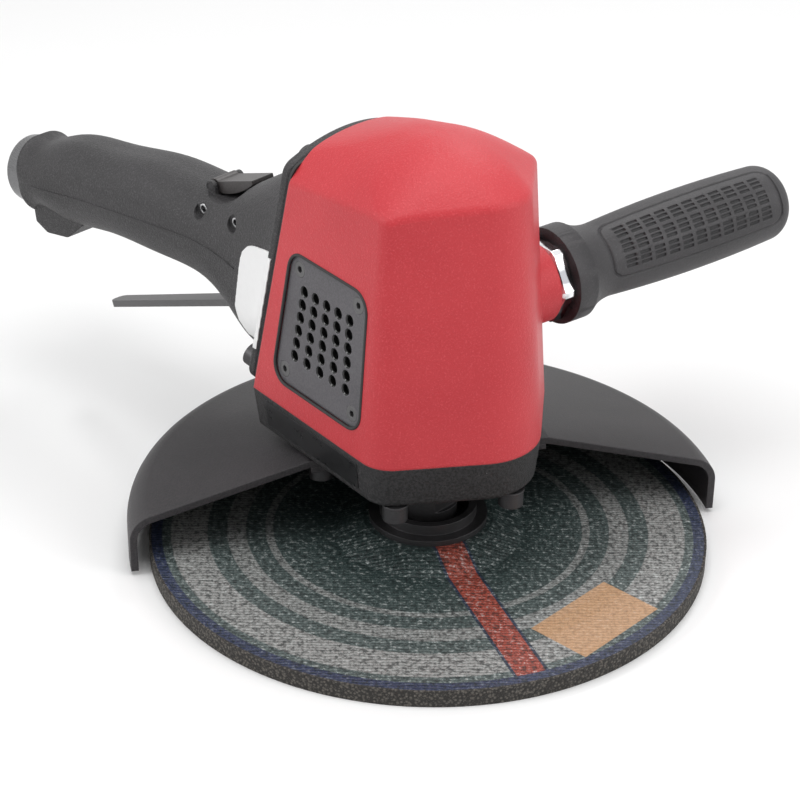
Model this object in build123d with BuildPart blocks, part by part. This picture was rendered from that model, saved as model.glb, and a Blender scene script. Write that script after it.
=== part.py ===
"""Vertical air grinder: motor housing over a depressed-centre wheel, throttle handle, dead handle.

The spindle axis is Z and the grinding face lies on Z = 0. The throttle handle points along -X,
the exhaust plate faces -Y. Lengths are in millimetres, angles in degrees.
"""
import os
from math import atan, cos, degrees, hypot, radians, sin, sqrt, tan

from build123d import *

# Fits
seat_gap = 0.05           # piece in its seat, all round
turn_gap = 0.2            # between turning and fixed pieces
end_gap = 0.3             # between turning and fixed end faces
panel_gap = 0.5           # shadow gap round a let-in plate
slot_gap = 0.6            # each side of a lever in its slot
shaft_gap = 1.0           # round a shaft that passes free
screw_run_out = 1.0       # hole beyond a screw's end

# Grinding wheel and its clamping
wheel_diameter = 230.0
wheel_thickness = 7.0
wheel_bore = 22.23
wheel_depression = 5.0
hub_flat_radius = 27.0
hub_cone_width = 13.0
hub_under_step = 2.0      # the cone's lower side stands this much further in
flange_disc_radius = 24.5
flange_disc_thickness = 2.5
flange_rim_radius = 20.0
flange_rim_wall = 3.0
flange_rim_height = 4.5
pilot_length = 3.0
nut_radius = 22.0
nut_recess = 0.8          # nut face above the grinding face
nut_boss_length = 3.4
nut_hole_radius = 2.5
nut_hole_circle_radius = 17.5

# Spindle
thread_radius = 7.0
collar_radius = 12.0
collar_flat_width = 20.0
collar_flat_height = 10.0
collar_flat_rise = 1.0    # flats start above the inner flange's rim
spindle_nose_inset = 0.4  # spindle's end above the nut's face
rotor_seat_radius = 8.0
shaft_end_radius = 5.0
shaft_end_length = 4.0
key_width = 4.0
key_depth = 2.0
key_length = 24.0

# Bearings: bore radius, outer radius and width of the two standard sizes
lower_bore, lower_outer, lower_width = 8.5, 20.0, 12.0
upper_bore, upper_outer, upper_width = 7.5, 16.0, 9.0
inner_ring_wall = 4.2
retainer_thickness = 5.0
retainer_wall = 5.0
seal_outer = 16.0
seal_width = 4.4
seal_inset = 0.8
bearing_shoulder = 2.0
preload_thickness = 1.2

# Vane motor
rotor_length = 51.4
rotor_gap = 0.3           # where the rotor comes nearest to the bore
cylinder_offset = 2.7     # the cylinder's bore stands off the spindle axis
cylinder_wall = 6.3       # where it is thinnest
vane_count = 4
vane_thickness = 3.0
vane_root_wall = 2.75      # rotor left under a vane's slot
vane_tip_depth = 0.2
lower_plate_thickness = 8.0
upper_plate_thickness = 12.0
exhaust_slot_count = 5
exhaust_slot_height = 4.0
exhaust_slot_width = 16.0
exhaust_slot_angle = -95.0
inlet_port_radius = 6.0

# Housing outline at the joint between housing and base
base_bottom = 44.0
base_height = 18.0
base_draft = 6.0
base_edge_round = 2.5
base_nose_radius = 24.0
base_nose_depth = 12.0
shoulder_x = 18.0
shoulder_half_width = 50.6
shoulder_round = 14.0
rear_x = -64.0
rear_half_width = 37.0
nose_x = 57.5             # where the two front faces would meet
nose_round = 26.0
housing_height = 120.6
housing_draft = 4.0
rear_lean = 11.0
crease_height = 101.2     # where faces and roof meet above the spindle axis, from the housing joint
crease_slope = 5.5        # that line rises towards the nose
roof_edge_round = 5.0
# Sections of the roof from below the crease to the top, all as shares of the roof's own half width:
# width, rounding at the shoulders, at the nose and at the tail that the rear face cuts off
roof_steps = (
    (1.12, 0.42, 0.52, 0.66),
    (1.00, 0.32, 0.48, 0.66),
    (0.82, 0.64, 0.50, 0.62),
    (0.58, 0.62, 0.43, 0.50),
    (0.32, 0.36, 0.23, 0.285),
    (0.06, 0.05, 0.05, 0.05),
)

# Base screws
screw_circle_radius = 44.0
screw_angles = (0, 65, 135, 225, 295)
screw_radius = 3.0
screw_head_radius = 5.0
screw_head_height = 6.0
screw_washer_height = 1.2
screw_washer_radius = 5.3
screw_grip = 16.0         # length in the housing
hex_socket = 5.0
hex_depth = 3.0

# Exhaust plate, measured on the flank from the shoulder and up from the housing joint
plate_thickness = 2.5
plate_recess = 0.8        # below the flank
plate_front_margin = 11.8
plate_sill = 10.7
plate_height = 58.6
plate_bottom_width = 58.6
plate_top_width = 50.0
plate_front_lean = 0.1
plate_round = 8.0
hole_columns = 5
hole_rows = 6
hole_radius = 2.5
hole_side_margin = 11.2
hole_end_margin = 14.6
plate_screw_inset = 6.3
plate_screw_radius = 1.5
plate_screw_head_radius = 3.4
plate_screw_length = 8.0
plate_screw_socket = 2.5
chamber_inset = 8.2
chamber_corner_round = 1.5
chamber_depth = 4.2
chamber_wall = 0.6        # left between chamber and motor at the plate's upper edge
exhaust_port_width = 16.0
exhaust_port_height = 30.0
exhaust_port_edge = 1.0   # from the chamber's front wall

# Guard
guard_clearance = 5.5     # round the wheel's rim
guard_sheet = 3.0
guard_skirt_bottom = 2.0
guard_slope = 14.8
guard_bend_round = 11.0
guard_start = 54.0
guard_span = 183.0
guard_collar_inner = 34.0
guard_collar_outer = 50.0
clamp_plate_thickness = 2.5
clamp_plate_outer = 49.0

# Throttle handle
gasket_thickness = 1.2
flange_thickness = 4.5
flange_inset = 0.8
flange_corner_round = 6.0
flange_edge_round = 1.5
flange_corner_rise = 5.0  # upper corners above the housing's crease
flange_crown = 7.5        # arched top above the upper corners
air_bore_radius = 8.0
flange_screw_length = 22.0
flange_screw_pocket = 30.0   # room for the heads behind the flange
lower_screw_y, lower_screw_rise = 28.0, 6.5
upper_screw_y, upper_screw_rise = 13.0, 97.0
neck_root_rise = 54.5     # middle of the neck up the flange
neck_root_height = 94.0
neck_root_width = 66.0
neck_root_round = 20.0
handle_roundness = 0.42
# x, z, height, width and lean of the sections between the neck's root and the handle's end
handle_rows = (
    (-77.0, 105.5, 83.0, 52.0, 8.0),
    (-93.0, 103.3, 63.5, 47.0, 4.0),
    (-113.0, 103.4, 43.8, 43.5, 0.0),
    (-137.0, 104.0, 41.2, 41.0, -2.0),
    (-163.0, 103.0, 40.5, 39.5, -4.0),
    (-190.0, 100.0, 38.5, 37.5, -6.0),
    (-216.0, 96.6, 37.0, 36.0, -8.0),
)
handle_end_x = -238.0
handle_end_z = 92.6
handle_end_lean = -9.0
handle_end_height = 35.5
handle_end_width = 34.5
inlet_ring_radius = 15.5
inlet_ring_length = 11.5
inlet_chamfer = 1.5
inlet_spigot_radius = 12.5
inlet_spigot_length = 20.0
inlet_thread_radius = 9.4
inlet_thread_depth = 18.0
screen_thickness = 1.5
screen_hole_radius, screen_hole_count = 1.6, 6
screen_hole_circle_radius = 4.8
stop_width = 22.0
stop_length = 34.0
stop_depth = 7.5
stop_round = 5.0
stop_heel_length, stop_heel_rise = 7.0, 4.5
stop_slope_length = 12.0

# Throttle lever, valve and lock lever
lever_pivot_x, lever_pivot_z = -84.0, 82.0
lever_tip_x, lever_tip_z = -194.0, 41.5
lever_width = 10.0
lever_tip_width = 8.0
lever_tip_round = 3.5
lever_thickness = 3.0
lever_hub_radius = 5.5
lever_pin_radius = 2.0
lever_pin_length = 40.0
lever_travel = 14.5
valve_x = -102.0
bushing_radius = 8.0
bushing_bottom = 83.0
bushing_length = 29.0
guide_length = 4.0
seat_rise = 12.0          # valve seat above the bushing's lower end
lower_chamber_radius = 4.4
upper_chamber_radius = 6.2
stem_radius = 2.5
stem_lever_gap = 0.3
valve_head_thickness = 3.0
valve_seal_thickness = 1.0
valve_spring_wall = 1.2
valve_outlet_radius = 3.5
valve_inlet_radius = 5.0
lock_pivot_x, lock_pivot_z = -118.0, 125.2
lock_tip_x, lock_tip_z = -95.0, 132.6
lock_width = 12.0
lock_end_radius = 3.0
lock_ear_radius = 2.6
lock_top = 1.6            # upper side above the pivot line
lock_belly = 3.6
lock_pin_radius = 1.5
lock_pin_length = 17.0
lock_travel = 5.0
scoop_radius = 24.0
scoop_depth = 5.5
spring_pin_radius = 2.2
spring_pin_bore = 1.5
spring_pin_recess = 3.5
spring_pin_sink = 2.0
spring_pins = ((-115.0, 118.5, 17.6), (-90.0, 122.0, 22.6))   # x, z and half width of the neck there

# Dead handle
dead_angle = 78.0
dead_z = 103.7            # on the spindle axis
dead_tilt = 2.0
dead_boss_radius = 17.0
dead_boss_proud = 1.5     # boss face beyond the flank's foot
dead_stud_radius = 7.0
dead_stud_in = 15.0
collar_across = 32.0
collar_corner_radius = 17.8
collar_bevel = 1.2
dead_collar_length = 7.0
grip_length = 121.0
grip_radius = 17.5
grip_waist_radius = 15.8
grip_flange_radius = 20.3
grip_flange_width = 9.0
grip_neck_length = 26.0
grip_end_round = 9.0
grip_end_radius = 16.5
grip_neck_hollow = 2.0    # how far the neck's curve is drawn in
grip_stud_cover = 18.0    # grip left beyond the stud's end

# Motor sizes that follow from the room between the flanks, which lean in with height
flank_run = hypot(shoulder_x - rear_x, shoulder_half_width - rear_half_width)
flank_dx = (shoulder_x - rear_x) / flank_run
flank_dy = (shoulder_half_width - rear_half_width) / flank_run
flank_distance = flank_dx * shoulder_half_width - flank_dy * shoulder_x
flank_top_distance = flank_distance - (plate_sill + plate_height) * tan(radians(housing_draft))
cylinder_outer = flank_top_distance - plate_recess - plate_thickness - chamber_depth - chamber_wall
cylinder_bore = cylinder_outer - cylinder_wall - cylinder_offset
rotor_radius = cylinder_bore - cylinder_offset - rotor_gap
vane_slot_bottom = rotor_seat_radius + vane_root_wall
vane_height = rotor_radius - vane_tip_depth - seat_gap - vane_slot_bottom

# Heights and places that follow
hub_top = wheel_depression + wheel_thickness
shoulder_z = hub_top + flange_disc_thickness
base_nose_bottom = base_bottom - base_nose_depth
guard_radius = wheel_diameter / 2 + guard_clearance + guard_sheet
dead_sin, dead_cos = sin(radians(dead_angle)), cos(radians(dead_angle))
dead_boss_reach = flank_distance / (flank_dx * dead_sin - flank_dy * dead_cos) + dead_boss_proud
joint_z = base_bottom + base_height
lower_bearing_z = base_nose_bottom + seal_inset + seal_width + bearing_shoulder
retainer_z = lower_bearing_z + lower_width
rotor_z = joint_z + lower_plate_thickness + end_gap
cylinder_z = joint_z + lower_plate_thickness
cylinder_length = rotor_length + 2 * end_gap
upper_plate_z = cylinder_z + cylinder_length
motor_top = upper_plate_z + upper_plate_thickness
upper_bearing_z = motor_top - upper_width
shaft_top = motor_top + shaft_end_length


def polar(radius, angle, z=0.0):
    """Point at a radius and angle about the spindle axis."""
    return (radius * cos(radians(angle)), radius * sin(radians(angle)), z)


def point_on(plane, u, v):
    """Location on a plane with the plane's own directions."""
    return plane.location * Location((u, v, 0))


def export(builder, name):
    """Label a finished piece and write it to its own file."""
    builder.part.label = name
    export_step(builder.part, f"parts/{name}.step")


os.makedirs("parts", exist_ok=True)

# Planes of the housing's rear face, its exhaust flank, the dead handle and the handle's inlet
lean_sin, lean_cos = sin(radians(rear_lean)), cos(radians(rear_lean))
rear_plane = Plane((rear_x, 0, joint_z), x_dir=(0, -1, 0), z_dir=(-lean_cos, 0, lean_sin))
draft_sin, draft_cos = sin(radians(housing_draft)), cos(radians(housing_draft))
flank_plane = Plane(
    (shoulder_x, -shoulder_half_width, joint_z),
    x_dir=(flank_dx, -flank_dy, 0),
    z_dir=(-flank_dy * draft_cos, -flank_dx * draft_cos, draft_sin),
)
crease_plane = Plane(
    (0, 0, joint_z + crease_height),
    x_dir=(cos(radians(crease_slope)), 0, sin(radians(crease_slope))),
    z_dir=(-sin(radians(crease_slope)), 0, cos(radians(crease_slope))),
)
plate_plane = flank_plane.offset(-plate_recess)
dead_dir = polar(cos(radians(dead_tilt)), dead_angle, sin(radians(dead_tilt)))
dead_plane = Plane((0, 0, dead_z), x_dir=polar(1, dead_angle + 90), z_dir=dead_dir)
inlet_dir = (-cos(radians(handle_end_lean)), 0, sin(radians(handle_end_lean)))
inlet_plane = Plane((handle_end_x, 0, handle_end_z), x_dir=(0, -1, 0), z_dir=inlet_dir)
guard_plane = Plane((0, 0, 0), x_dir=polar(1, guard_start), z_dir=polar(1, guard_start - 90))


def ring(inner, outer, bottom, height):
    """Plain ring about the spindle axis."""
    with BuildPart() as body:
        with BuildSketch(Plane.XY.offset(bottom)):
            Circle(outer)
            Circle(inner, mode=Mode.SUBTRACT)
        extrude(amount=height)
    return body


# Grinding wheel: flat rim, raised hub, equal thickness throughout
with BuildPart() as grinding_wheel:
    rim_radius = wheel_diameter / 2
    with BuildSketch(Plane.XZ):
        with BuildLine():
            Polyline(
                (wheel_bore / 2, wheel_depression),
                (hub_flat_radius - hub_under_step, wheel_depression),
                (hub_flat_radius + hub_cone_width - hub_under_step, 0),
                (rim_radius, 0),
                (rim_radius, wheel_thickness),
                (hub_flat_radius + hub_cone_width, wheel_thickness),
                (hub_flat_radius, hub_top),
                (wheel_bore / 2, hub_top),
                close=True,
            )
        make_face()
    revolve(axis=Axis.Z)

# Inner flange: backs the wheel, centres it with a pilot and stands against the spindle's collar
with BuildPart() as inner_flange:
    rim_top = shoulder_z + flange_rim_height
    pilot_radius = wheel_bore / 2 - seat_gap
    with BuildSketch(Plane.XZ):
        with BuildLine():
            Polyline(
                (thread_radius + seat_gap, hub_top - pilot_length),
                (pilot_radius, hub_top - pilot_length),
                (pilot_radius, hub_top),
                (flange_disc_radius, hub_top),
                (flange_disc_radius, shoulder_z),
                (flange_rim_radius, shoulder_z),
                (flange_rim_radius, rim_top),
                (flange_rim_radius - flange_rim_wall, rim_top),
                (flange_rim_radius - flange_rim_wall, shoulder_z),
                (thread_radius + seat_gap, shoulder_z),
                close=True,
            )
        make_face()
    revolve(axis=Axis.Z)

# Flange nut: thin disc in the wheel's recess, boss in the bore, four holes for a pin spanner
with BuildPart() as flange_nut:
    with BuildSketch(Plane.XY.offset(nut_recess)):
        Circle(nut_radius)
    extrude(amount=wheel_depression - nut_recess)
    with BuildSketch(Plane.XY.offset(wheel_depression)):
        Circle(pilot_radius)
    extrude(amount=nut_boss_length)
    with BuildSketch(Plane.XY.offset(nut_recess)):
        Circle(thread_radius + seat_gap)
    extrude(amount=wheel_depression + nut_boss_length, mode=Mode.SUBTRACT)
    with BuildSketch(Plane.XY.offset(nut_recess)):
        with PolarLocations(nut_hole_circle_radius, 4):
            Circle(nut_hole_radius)
    extrude(amount=wheel_depression - nut_recess, mode=Mode.SUBTRACT)

# Spindle: threaded nose, collar with spanner flats, bearing journals, keyed rotor seat
with BuildPart() as spindle:
    collar_flat_z = shoulder_z + flange_rim_height + collar_flat_rise
    with BuildSketch(Plane.XZ):
        with BuildLine():
            Polyline(
                (0, nut_recess + spindle_nose_inset),
                (thread_radius, nut_recess + spindle_nose_inset),
                (thread_radius, shoulder_z),
                (collar_radius, shoulder_z),
                (collar_radius, lower_bearing_z),
                (lower_bore, lower_bearing_z),
                (lower_bore, retainer_z + retainer_thickness),
                (rotor_seat_radius, retainer_z + retainer_thickness),
                (rotor_seat_radius, upper_bearing_z),
                (upper_bore, upper_bearing_z),
                (upper_bore, motor_top),
                (shaft_end_radius, motor_top),
                (shaft_end_radius, shaft_top),
                (0, shaft_top),
                close=True,
            )
        make_face()
    revolve(axis=Axis.Z)
    with BuildSketch(Plane.XY.offset(collar_flat_z)):
        Circle(collar_radius + shaft_gap)
        Rectangle(collar_flat_width, 4 * collar_radius, mode=Mode.SUBTRACT)
    extrude(amount=collar_flat_height, mode=Mode.SUBTRACT)
    key_z = rotor_z + (rotor_length - key_length) / 2
    with BuildSketch(Plane.XY.offset(key_z)):
        with Locations((rotor_seat_radius, 0)):
            Rectangle(2 * key_depth, key_width)
    extrude(amount=key_length, mode=Mode.SUBTRACT)

# Key between spindle and rotor
with BuildPart() as rotor_key:
    with BuildSketch(Plane.XY.offset(key_z)):
        with Locations((rotor_seat_radius, 0)):
            Rectangle(2 * (key_depth - seat_gap), key_width - 2 * seat_gap)
    extrude(amount=key_length)

# Rotor with radial slots, and the vanes drawn in to the slots
with BuildPart() as rotor:
    with BuildSketch(Plane.XY.offset(rotor_z)):
        Circle(rotor_radius)
        Circle(rotor_seat_radius + seat_gap, mode=Mode.SUBTRACT)
        with PolarLocations(vane_slot_bottom + rotor_radius / 2, vane_count, start_angle=45):
            Rectangle(rotor_radius, vane_thickness + 2 * seat_gap, mode=Mode.SUBTRACT)
        with Locations((rotor_seat_radius, 0)):
            Rectangle(2 * key_depth, key_width, mode=Mode.SUBTRACT)
    extrude(amount=rotor_length)

with BuildPart() as vanes:
    vane_middle = vane_slot_bottom + seat_gap + vane_height / 2
    with BuildSketch(Plane.XY.offset(rotor_z)):
        with PolarLocations(vane_middle, vane_count, start_angle=45):
            Rectangle(vane_height, vane_thickness)
    extrude(amount=rotor_length)

# Cylinder: bore set off the axis, inlet port towards the handle, exhaust slots towards the plate
with BuildPart() as cylinder:
    slot_pitch = cylinder_length / (exhaust_slot_count + 1)
    with BuildSketch(Plane.XY.offset(cylinder_z)):
        Circle(cylinder_outer - seat_gap)
        with Locations((cylinder_offset, 0)):
            Circle(cylinder_bore, mode=Mode.SUBTRACT)
    extrude(amount=cylinder_length)
    slot_plane = Plane((0, 0, cylinder_z + cylinder_length / 2),
                       x_dir=polar(1, exhaust_slot_angle + 90), z_dir=polar(1, exhaust_slot_angle))
    with BuildSketch(slot_plane):
        with GridLocations(1, slot_pitch, 1, exhaust_slot_count):
            Rectangle(exhaust_slot_width, exhaust_slot_height)
    extrude(amount=2 * cylinder_outer, mode=Mode.SUBTRACT)
    with BuildSketch(Plane.YZ.offset(-2 * cylinder_outer)):
        with Locations((0, cylinder_z + cylinder_length / 2)):
            Circle(inlet_port_radius)
    extrude(amount=2 * cylinder_outer, mode=Mode.SUBTRACT)

lower_end_plate = ring(collar_radius, cylinder_outer - seat_gap, joint_z, lower_plate_thickness)

with BuildPart() as upper_end_plate:
    with BuildSketch(Plane.XY.offset(upper_plate_z)):
        Circle(cylinder_outer - seat_gap)
        Circle(rotor_seat_radius + shaft_gap, mode=Mode.SUBTRACT)
    extrude(amount=upper_plate_thickness)
    with BuildSketch(Plane.XY.offset(upper_bearing_z)):
        Circle(upper_outer)
    extrude(amount=upper_width, mode=Mode.SUBTRACT)

# Sealed bearings: an outer ring with its shields on the fixed side, an inner ring on the spindle
lower_ring_radius = lower_bore + inner_ring_wall
upper_ring_radius = upper_bore + inner_ring_wall
lower_bearing = ring(lower_ring_radius + turn_gap, lower_outer - seat_gap, lower_bearing_z, lower_width)
upper_bearing = ring(upper_ring_radius + turn_gap, upper_outer - seat_gap, upper_bearing_z, upper_width)
lower_inner_ring = ring(lower_bore + seat_gap, lower_ring_radius, lower_bearing_z, lower_width)
upper_inner_ring = ring(upper_bore + seat_gap, upper_ring_radius, upper_bearing_z, upper_width)
bearing_retainer = ring(lower_outer - retainer_wall, lower_outer - seat_gap, retainer_z, retainer_thickness)
seal_z = base_nose_bottom + seal_inset
spindle_seal = ring(collar_radius + turn_gap, seal_outer - seat_gap, seal_z, seal_width)
preload_washer = ring(upper_ring_radius + turn_gap, upper_outer - seat_gap, motor_top, preload_thickness)


def housing_outline(rear):
    """Plan of housing and base: two flanks, two front faces and a round nose."""
    rear_y = shoulder_half_width - (shoulder_x - rear) * flank_dy / flank_dx
    with BuildSketch() as outline:
        with BuildLine():
            Polyline(
                (rear, -rear_y),
                (shoulder_x, -shoulder_half_width),
                (nose_x, 0),
                (shoulder_x, shoulder_half_width),
                (rear, rear_y),
                close=True,
            )
        make_face()
        fillet(outline.vertices().sort_by(Axis.X)[-1], radius=nose_round)
        fillet(outline.vertices().group_by(Axis.Y)[0], radius=shoulder_round)
        fillet(outline.vertices().group_by(Axis.Y)[-1], radius=shoulder_round)
    return outline.sketch


def plate_outline(inset):
    """Trapezoid of the exhaust plate on its flank, drawn in by an inset."""
    side = (plate_bottom_width - plate_top_width - plate_front_lean) / plate_height
    lean = plate_front_lean / plate_height
    low, high = plate_sill + inset, plate_sill + plate_height - inset

    def front(v):
        return -plate_front_margin - lean * (v - plate_sill) - inset

    def rear(v):
        return -plate_front_margin - plate_bottom_width + side * (v - plate_sill) + inset

    with BuildSketch() as outline:
        with BuildLine():
            Polyline((rear(low), low), (front(low), low), (front(high), high), (rear(high), high), close=True)
        make_face()
        fillet(outline.vertices(), radius=max(plate_round - inset, chamber_corner_round))
    return outline.sketch, rear, front


plate_seat, plate_rear, plate_front = plate_outline(0.0)
screw_low = plate_sill + plate_screw_inset
screw_high = plate_sill + plate_height - plate_screw_inset
plate_screw_points = [
    (side(v) + step * plate_screw_inset, v)
    for v in (screw_low, screw_high)
    for side, step in ((plate_rear, 1), (plate_front, -1))
]
hole_points = []
for row in range(hole_rows):
    hole_v = plate_sill + hole_end_margin + row * (plate_height - 2 * hole_end_margin) / (hole_rows - 1)
    first = plate_rear(hole_v) + hole_side_margin
    last = plate_front(hole_v) - hole_side_margin
    for column in range(hole_columns):
        hole_points.append((first + column * (last - first) / (hole_columns - 1), hole_v))

flange_screw_points = [
    (side * y, rise)
    for y, rise in ((lower_screw_y, lower_screw_rise), (upper_screw_y, upper_screw_rise))
    for side in (-1, 1)
]
base_screw_points = [polar(screw_circle_radius, angle) for angle in screw_angles]
air_port_rise = (cylinder_z + cylinder_length / 2 - joint_z) / lean_cos

# The roof's plan is a kite: flanks drawn out to a tail, and the two front faces. Drawn in from all
# four sides it stays a kite, so the roof is a loft through smaller and smaller ones over a round profile.
crease_inset = crease_height * tan(radians(housing_draft))
tail_x = shoulder_x - shoulder_half_width * flank_dx / flank_dy
front_run = hypot(nose_x - shoulder_x, shoulder_half_width)
front_dx = shoulder_half_width / front_run
kite_middle = (nose_x * front_dx - flank_distance) / (front_dx + flank_dy)
roof_reach = (nose_x - kite_middle) * front_dx - crease_inset
roof_rise = housing_height - crease_height
roof_radius = (roof_reach ** 2 + roof_rise ** 2) / (2 * roof_rise)


def roof_outline(share, shoulder, nose, tail):
    """Kite at a share of the roof's width with its corners rounded."""
    with BuildSketch() as outline:
        with BuildLine():
            Polyline(
                (tail_x, 0),
                (shoulder_x, -shoulder_half_width),
                (nose_x, 0),
                (shoulder_x, shoulder_half_width),
                close=True,
            )
        make_face()
        offset(amount=(share - 1) * roof_reach - crease_inset, kind=Kind.INTERSECTION)
        fillet(outline.vertices().sort_by(Axis.X)[0], radius=tail * roof_reach)
        fillet(outline.vertices().sort_by(Axis.X)[-1], radius=nose * roof_reach)
        fillet(outline.vertices().group_by(Axis.Y)[0], radius=shoulder * roof_reach)
        fillet(outline.vertices().group_by(Axis.Y)[-1], radius=shoulder * roof_reach)
    return outline.sketch


def roof_height(share):
    """Height of the roof's round profile above the crease."""
    return sqrt(roof_radius ** 2 - (share * roof_reach) ** 2) - roof_radius + roof_rise


# Space under the roof: the loft, and all that is below its lowest section
with BuildPart() as roof_envelope:
    for share, shoulder, nose, tail in roof_steps:
        with BuildSketch(crease_plane.offset(roof_height(share))):
            add(roof_outline(share, shoulder, nose, tail))
    loft()
    with Locations(crease_plane.offset(roof_height(roof_steps[0][0])).location):
        Box(8 * shoulder_half_width, 8 * shoulder_half_width, 2 * housing_height,
            align=(Align.CENTER, Align.CENTER, Align.MAX))

def on_crease(edge):
    """True for an edge between the housing's upright faces and its roof."""
    at_crease = abs(crease_plane.to_local_coords(edge.center()).Z) < roof_edge_round
    return at_crease and abs(rear_plane.to_local_coords(edge.center()).Z) > roof_edge_round


# Motor housing: drafted body cut off at the leaning rear face, under the roof
with BuildPart() as motor_housing:
    with BuildSketch(Plane.XY.offset(joint_z)):
        add(housing_outline(rear_x - flange_thickness))
    extrude(amount=housing_height, taper=housing_draft)
    split(bisect_by=rear_plane, keep=Keep.BOTTOM)
    add(roof_envelope.part, mode=Mode.INTERSECT)
    fillet(motor_housing.edges().filter_by(on_crease), radius=roof_edge_round)
    with BuildSketch(dead_plane.offset(cylinder_outer)):
        Circle(dead_boss_radius)
    extrude(amount=dead_boss_reach - cylinder_outer)
    with BuildSketch(Plane.XY.offset(joint_z)):
        Circle(cylinder_outer)
    extrude(amount=motor_top - joint_z, mode=Mode.SUBTRACT)
    with BuildSketch(Plane.XY.offset(motor_top)):
        Circle(upper_outer)
    extrude(amount=preload_thickness, mode=Mode.SUBTRACT)
    with BuildSketch(Plane.XY.offset(motor_top + preload_thickness)):
        Circle(upper_bore + shaft_gap)
    extrude(amount=shaft_end_length, mode=Mode.SUBTRACT)
    with BuildSketch(Plane.XY.offset(joint_z)):
        with Locations(*base_screw_points):
            Circle(screw_radius + seat_gap)
    extrude(amount=screw_grip + screw_run_out, mode=Mode.SUBTRACT)
    with BuildSketch(flank_plane):
        add(plate_seat)
    extrude(amount=-plate_recess - plate_thickness, mode=Mode.SUBTRACT)
    with BuildSketch(plate_plane):
        add(plate_outline(chamber_inset)[0])
    extrude(amount=-plate_thickness - chamber_depth, mode=Mode.SUBTRACT)
    with BuildSketch(flank_plane):
        port_v = plate_sill + plate_height / 2
        port_u = plate_front(port_v) - chamber_inset - exhaust_port_width / 2 - exhaust_port_edge
        with Locations((port_u, port_v)):
            Rectangle(exhaust_port_width, exhaust_port_height)
    extrude(amount=-cylinder_outer / 2, mode=Mode.SUBTRACT)
    with BuildSketch(plate_plane):
        with Locations(*plate_screw_points):
            Circle(plate_screw_radius + seat_gap)
    extrude(amount=-plate_screw_length - seat_gap, mode=Mode.SUBTRACT)
    with BuildSketch(rear_plane):
        with Locations(*flange_screw_points):
            Circle(screw_radius + seat_gap)
    extrude(amount=-flange_screw_length + flange_thickness, mode=Mode.SUBTRACT)
    with BuildSketch(rear_plane):
        with Locations((0, air_port_rise)):
            Circle(air_bore_radius)
    extrude(amount=rear_x / 2, mode=Mode.SUBTRACT)
    with BuildSketch(dead_plane.offset(dead_boss_reach - dead_stud_in)):
        Circle(dead_stud_radius + seat_gap)
    extrude(amount=dead_stud_in, mode=Mode.SUBTRACT)

# Base housing: drafted skirt under the motor housing with a round nose for bearing and seal
with BuildPart() as base_housing:
    with BuildSketch(Plane((0, 0, joint_z), x_dir=(1, 0, 0), z_dir=(0, 0, -1))):
        add(housing_outline(rear_x))
    extrude(amount=base_height, taper=base_draft)
    fillet(base_housing.faces().sort_by(Axis.Z)[0].edges(), radius=base_edge_round)
    with BuildSketch(Plane.XY.offset(base_nose_bottom)):
        Circle(base_nose_radius)
    extrude(amount=base_nose_depth + base_height)
    with BuildSketch(Plane.XY.offset(lower_bearing_z)):
        Circle(lower_outer)
    extrude(amount=joint_z - lower_bearing_z, mode=Mode.SUBTRACT)
    with BuildSketch(Plane.XY.offset(base_nose_bottom)):
        Circle(seal_outer)
    extrude(amount=seal_inset + seal_width, mode=Mode.SUBTRACT)
    with BuildSketch(Plane.XY.offset(base_nose_bottom)):
        Circle(collar_radius + shaft_gap)
    extrude(amount=base_nose_depth + base_height, mode=Mode.SUBTRACT)
    with BuildSketch(Plane.XY.offset(base_bottom)):
        with Locations(*base_screw_points):
            Circle(screw_radius + seat_gap)
    extrude(amount=base_height, mode=Mode.SUBTRACT)

# Exhaust plate with its fan of holes, the screws in its corners and the felt behind it
with BuildPart() as exhaust_plate:
    with BuildSketch(plate_plane):
        add(plate_outline(panel_gap)[0])
        with Locations(*hole_points):
            Circle(hole_radius, mode=Mode.SUBTRACT)
        with Locations(*plate_screw_points):
            Circle(plate_screw_radius + seat_gap, mode=Mode.SUBTRACT)
    extrude(amount=-plate_thickness)
    for u, v in plate_screw_points:
        with Locations(point_on(plate_plane, u, v)):
            CounterSinkHole(
                plate_screw_radius + seat_gap,
                plate_screw_head_radius + seat_gap,
                plate_thickness,
            )

with BuildPart() as exhaust_screws:
    head_depth = plate_screw_head_radius - plate_screw_radius
    hang = (Align.CENTER, Align.CENTER, Align.MAX)
    for u, v in plate_screw_points:
        with Locations(point_on(plate_plane, u, v)):
            Cone(plate_screw_radius, plate_screw_head_radius, head_depth, align=hang)
            Cylinder(plate_screw_radius, plate_screw_length, align=hang)
    with BuildSketch(plate_plane):
        with Locations(*plate_screw_points):
            RegularPolygon(plate_screw_socket / 2, 6, major_radius=False)
    extrude(amount=-head_depth, mode=Mode.SUBTRACT)

with BuildPart() as silencer_felt:
    with BuildSketch(plate_plane.offset(-plate_thickness)):
        add(plate_outline(chamber_inset + seat_gap)[0])
    extrude(amount=-chamber_depth)


def under_guard(angle):
    """True where a base screw passes through the guard and its clamp plate."""
    return guard_start < angle < guard_start + guard_span


def screw_seat(angle):
    """Height of the face that a base screw's washer bears on."""
    return base_bottom - under_guard(angle) * (guard_sheet + clamp_plate_thickness)


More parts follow.
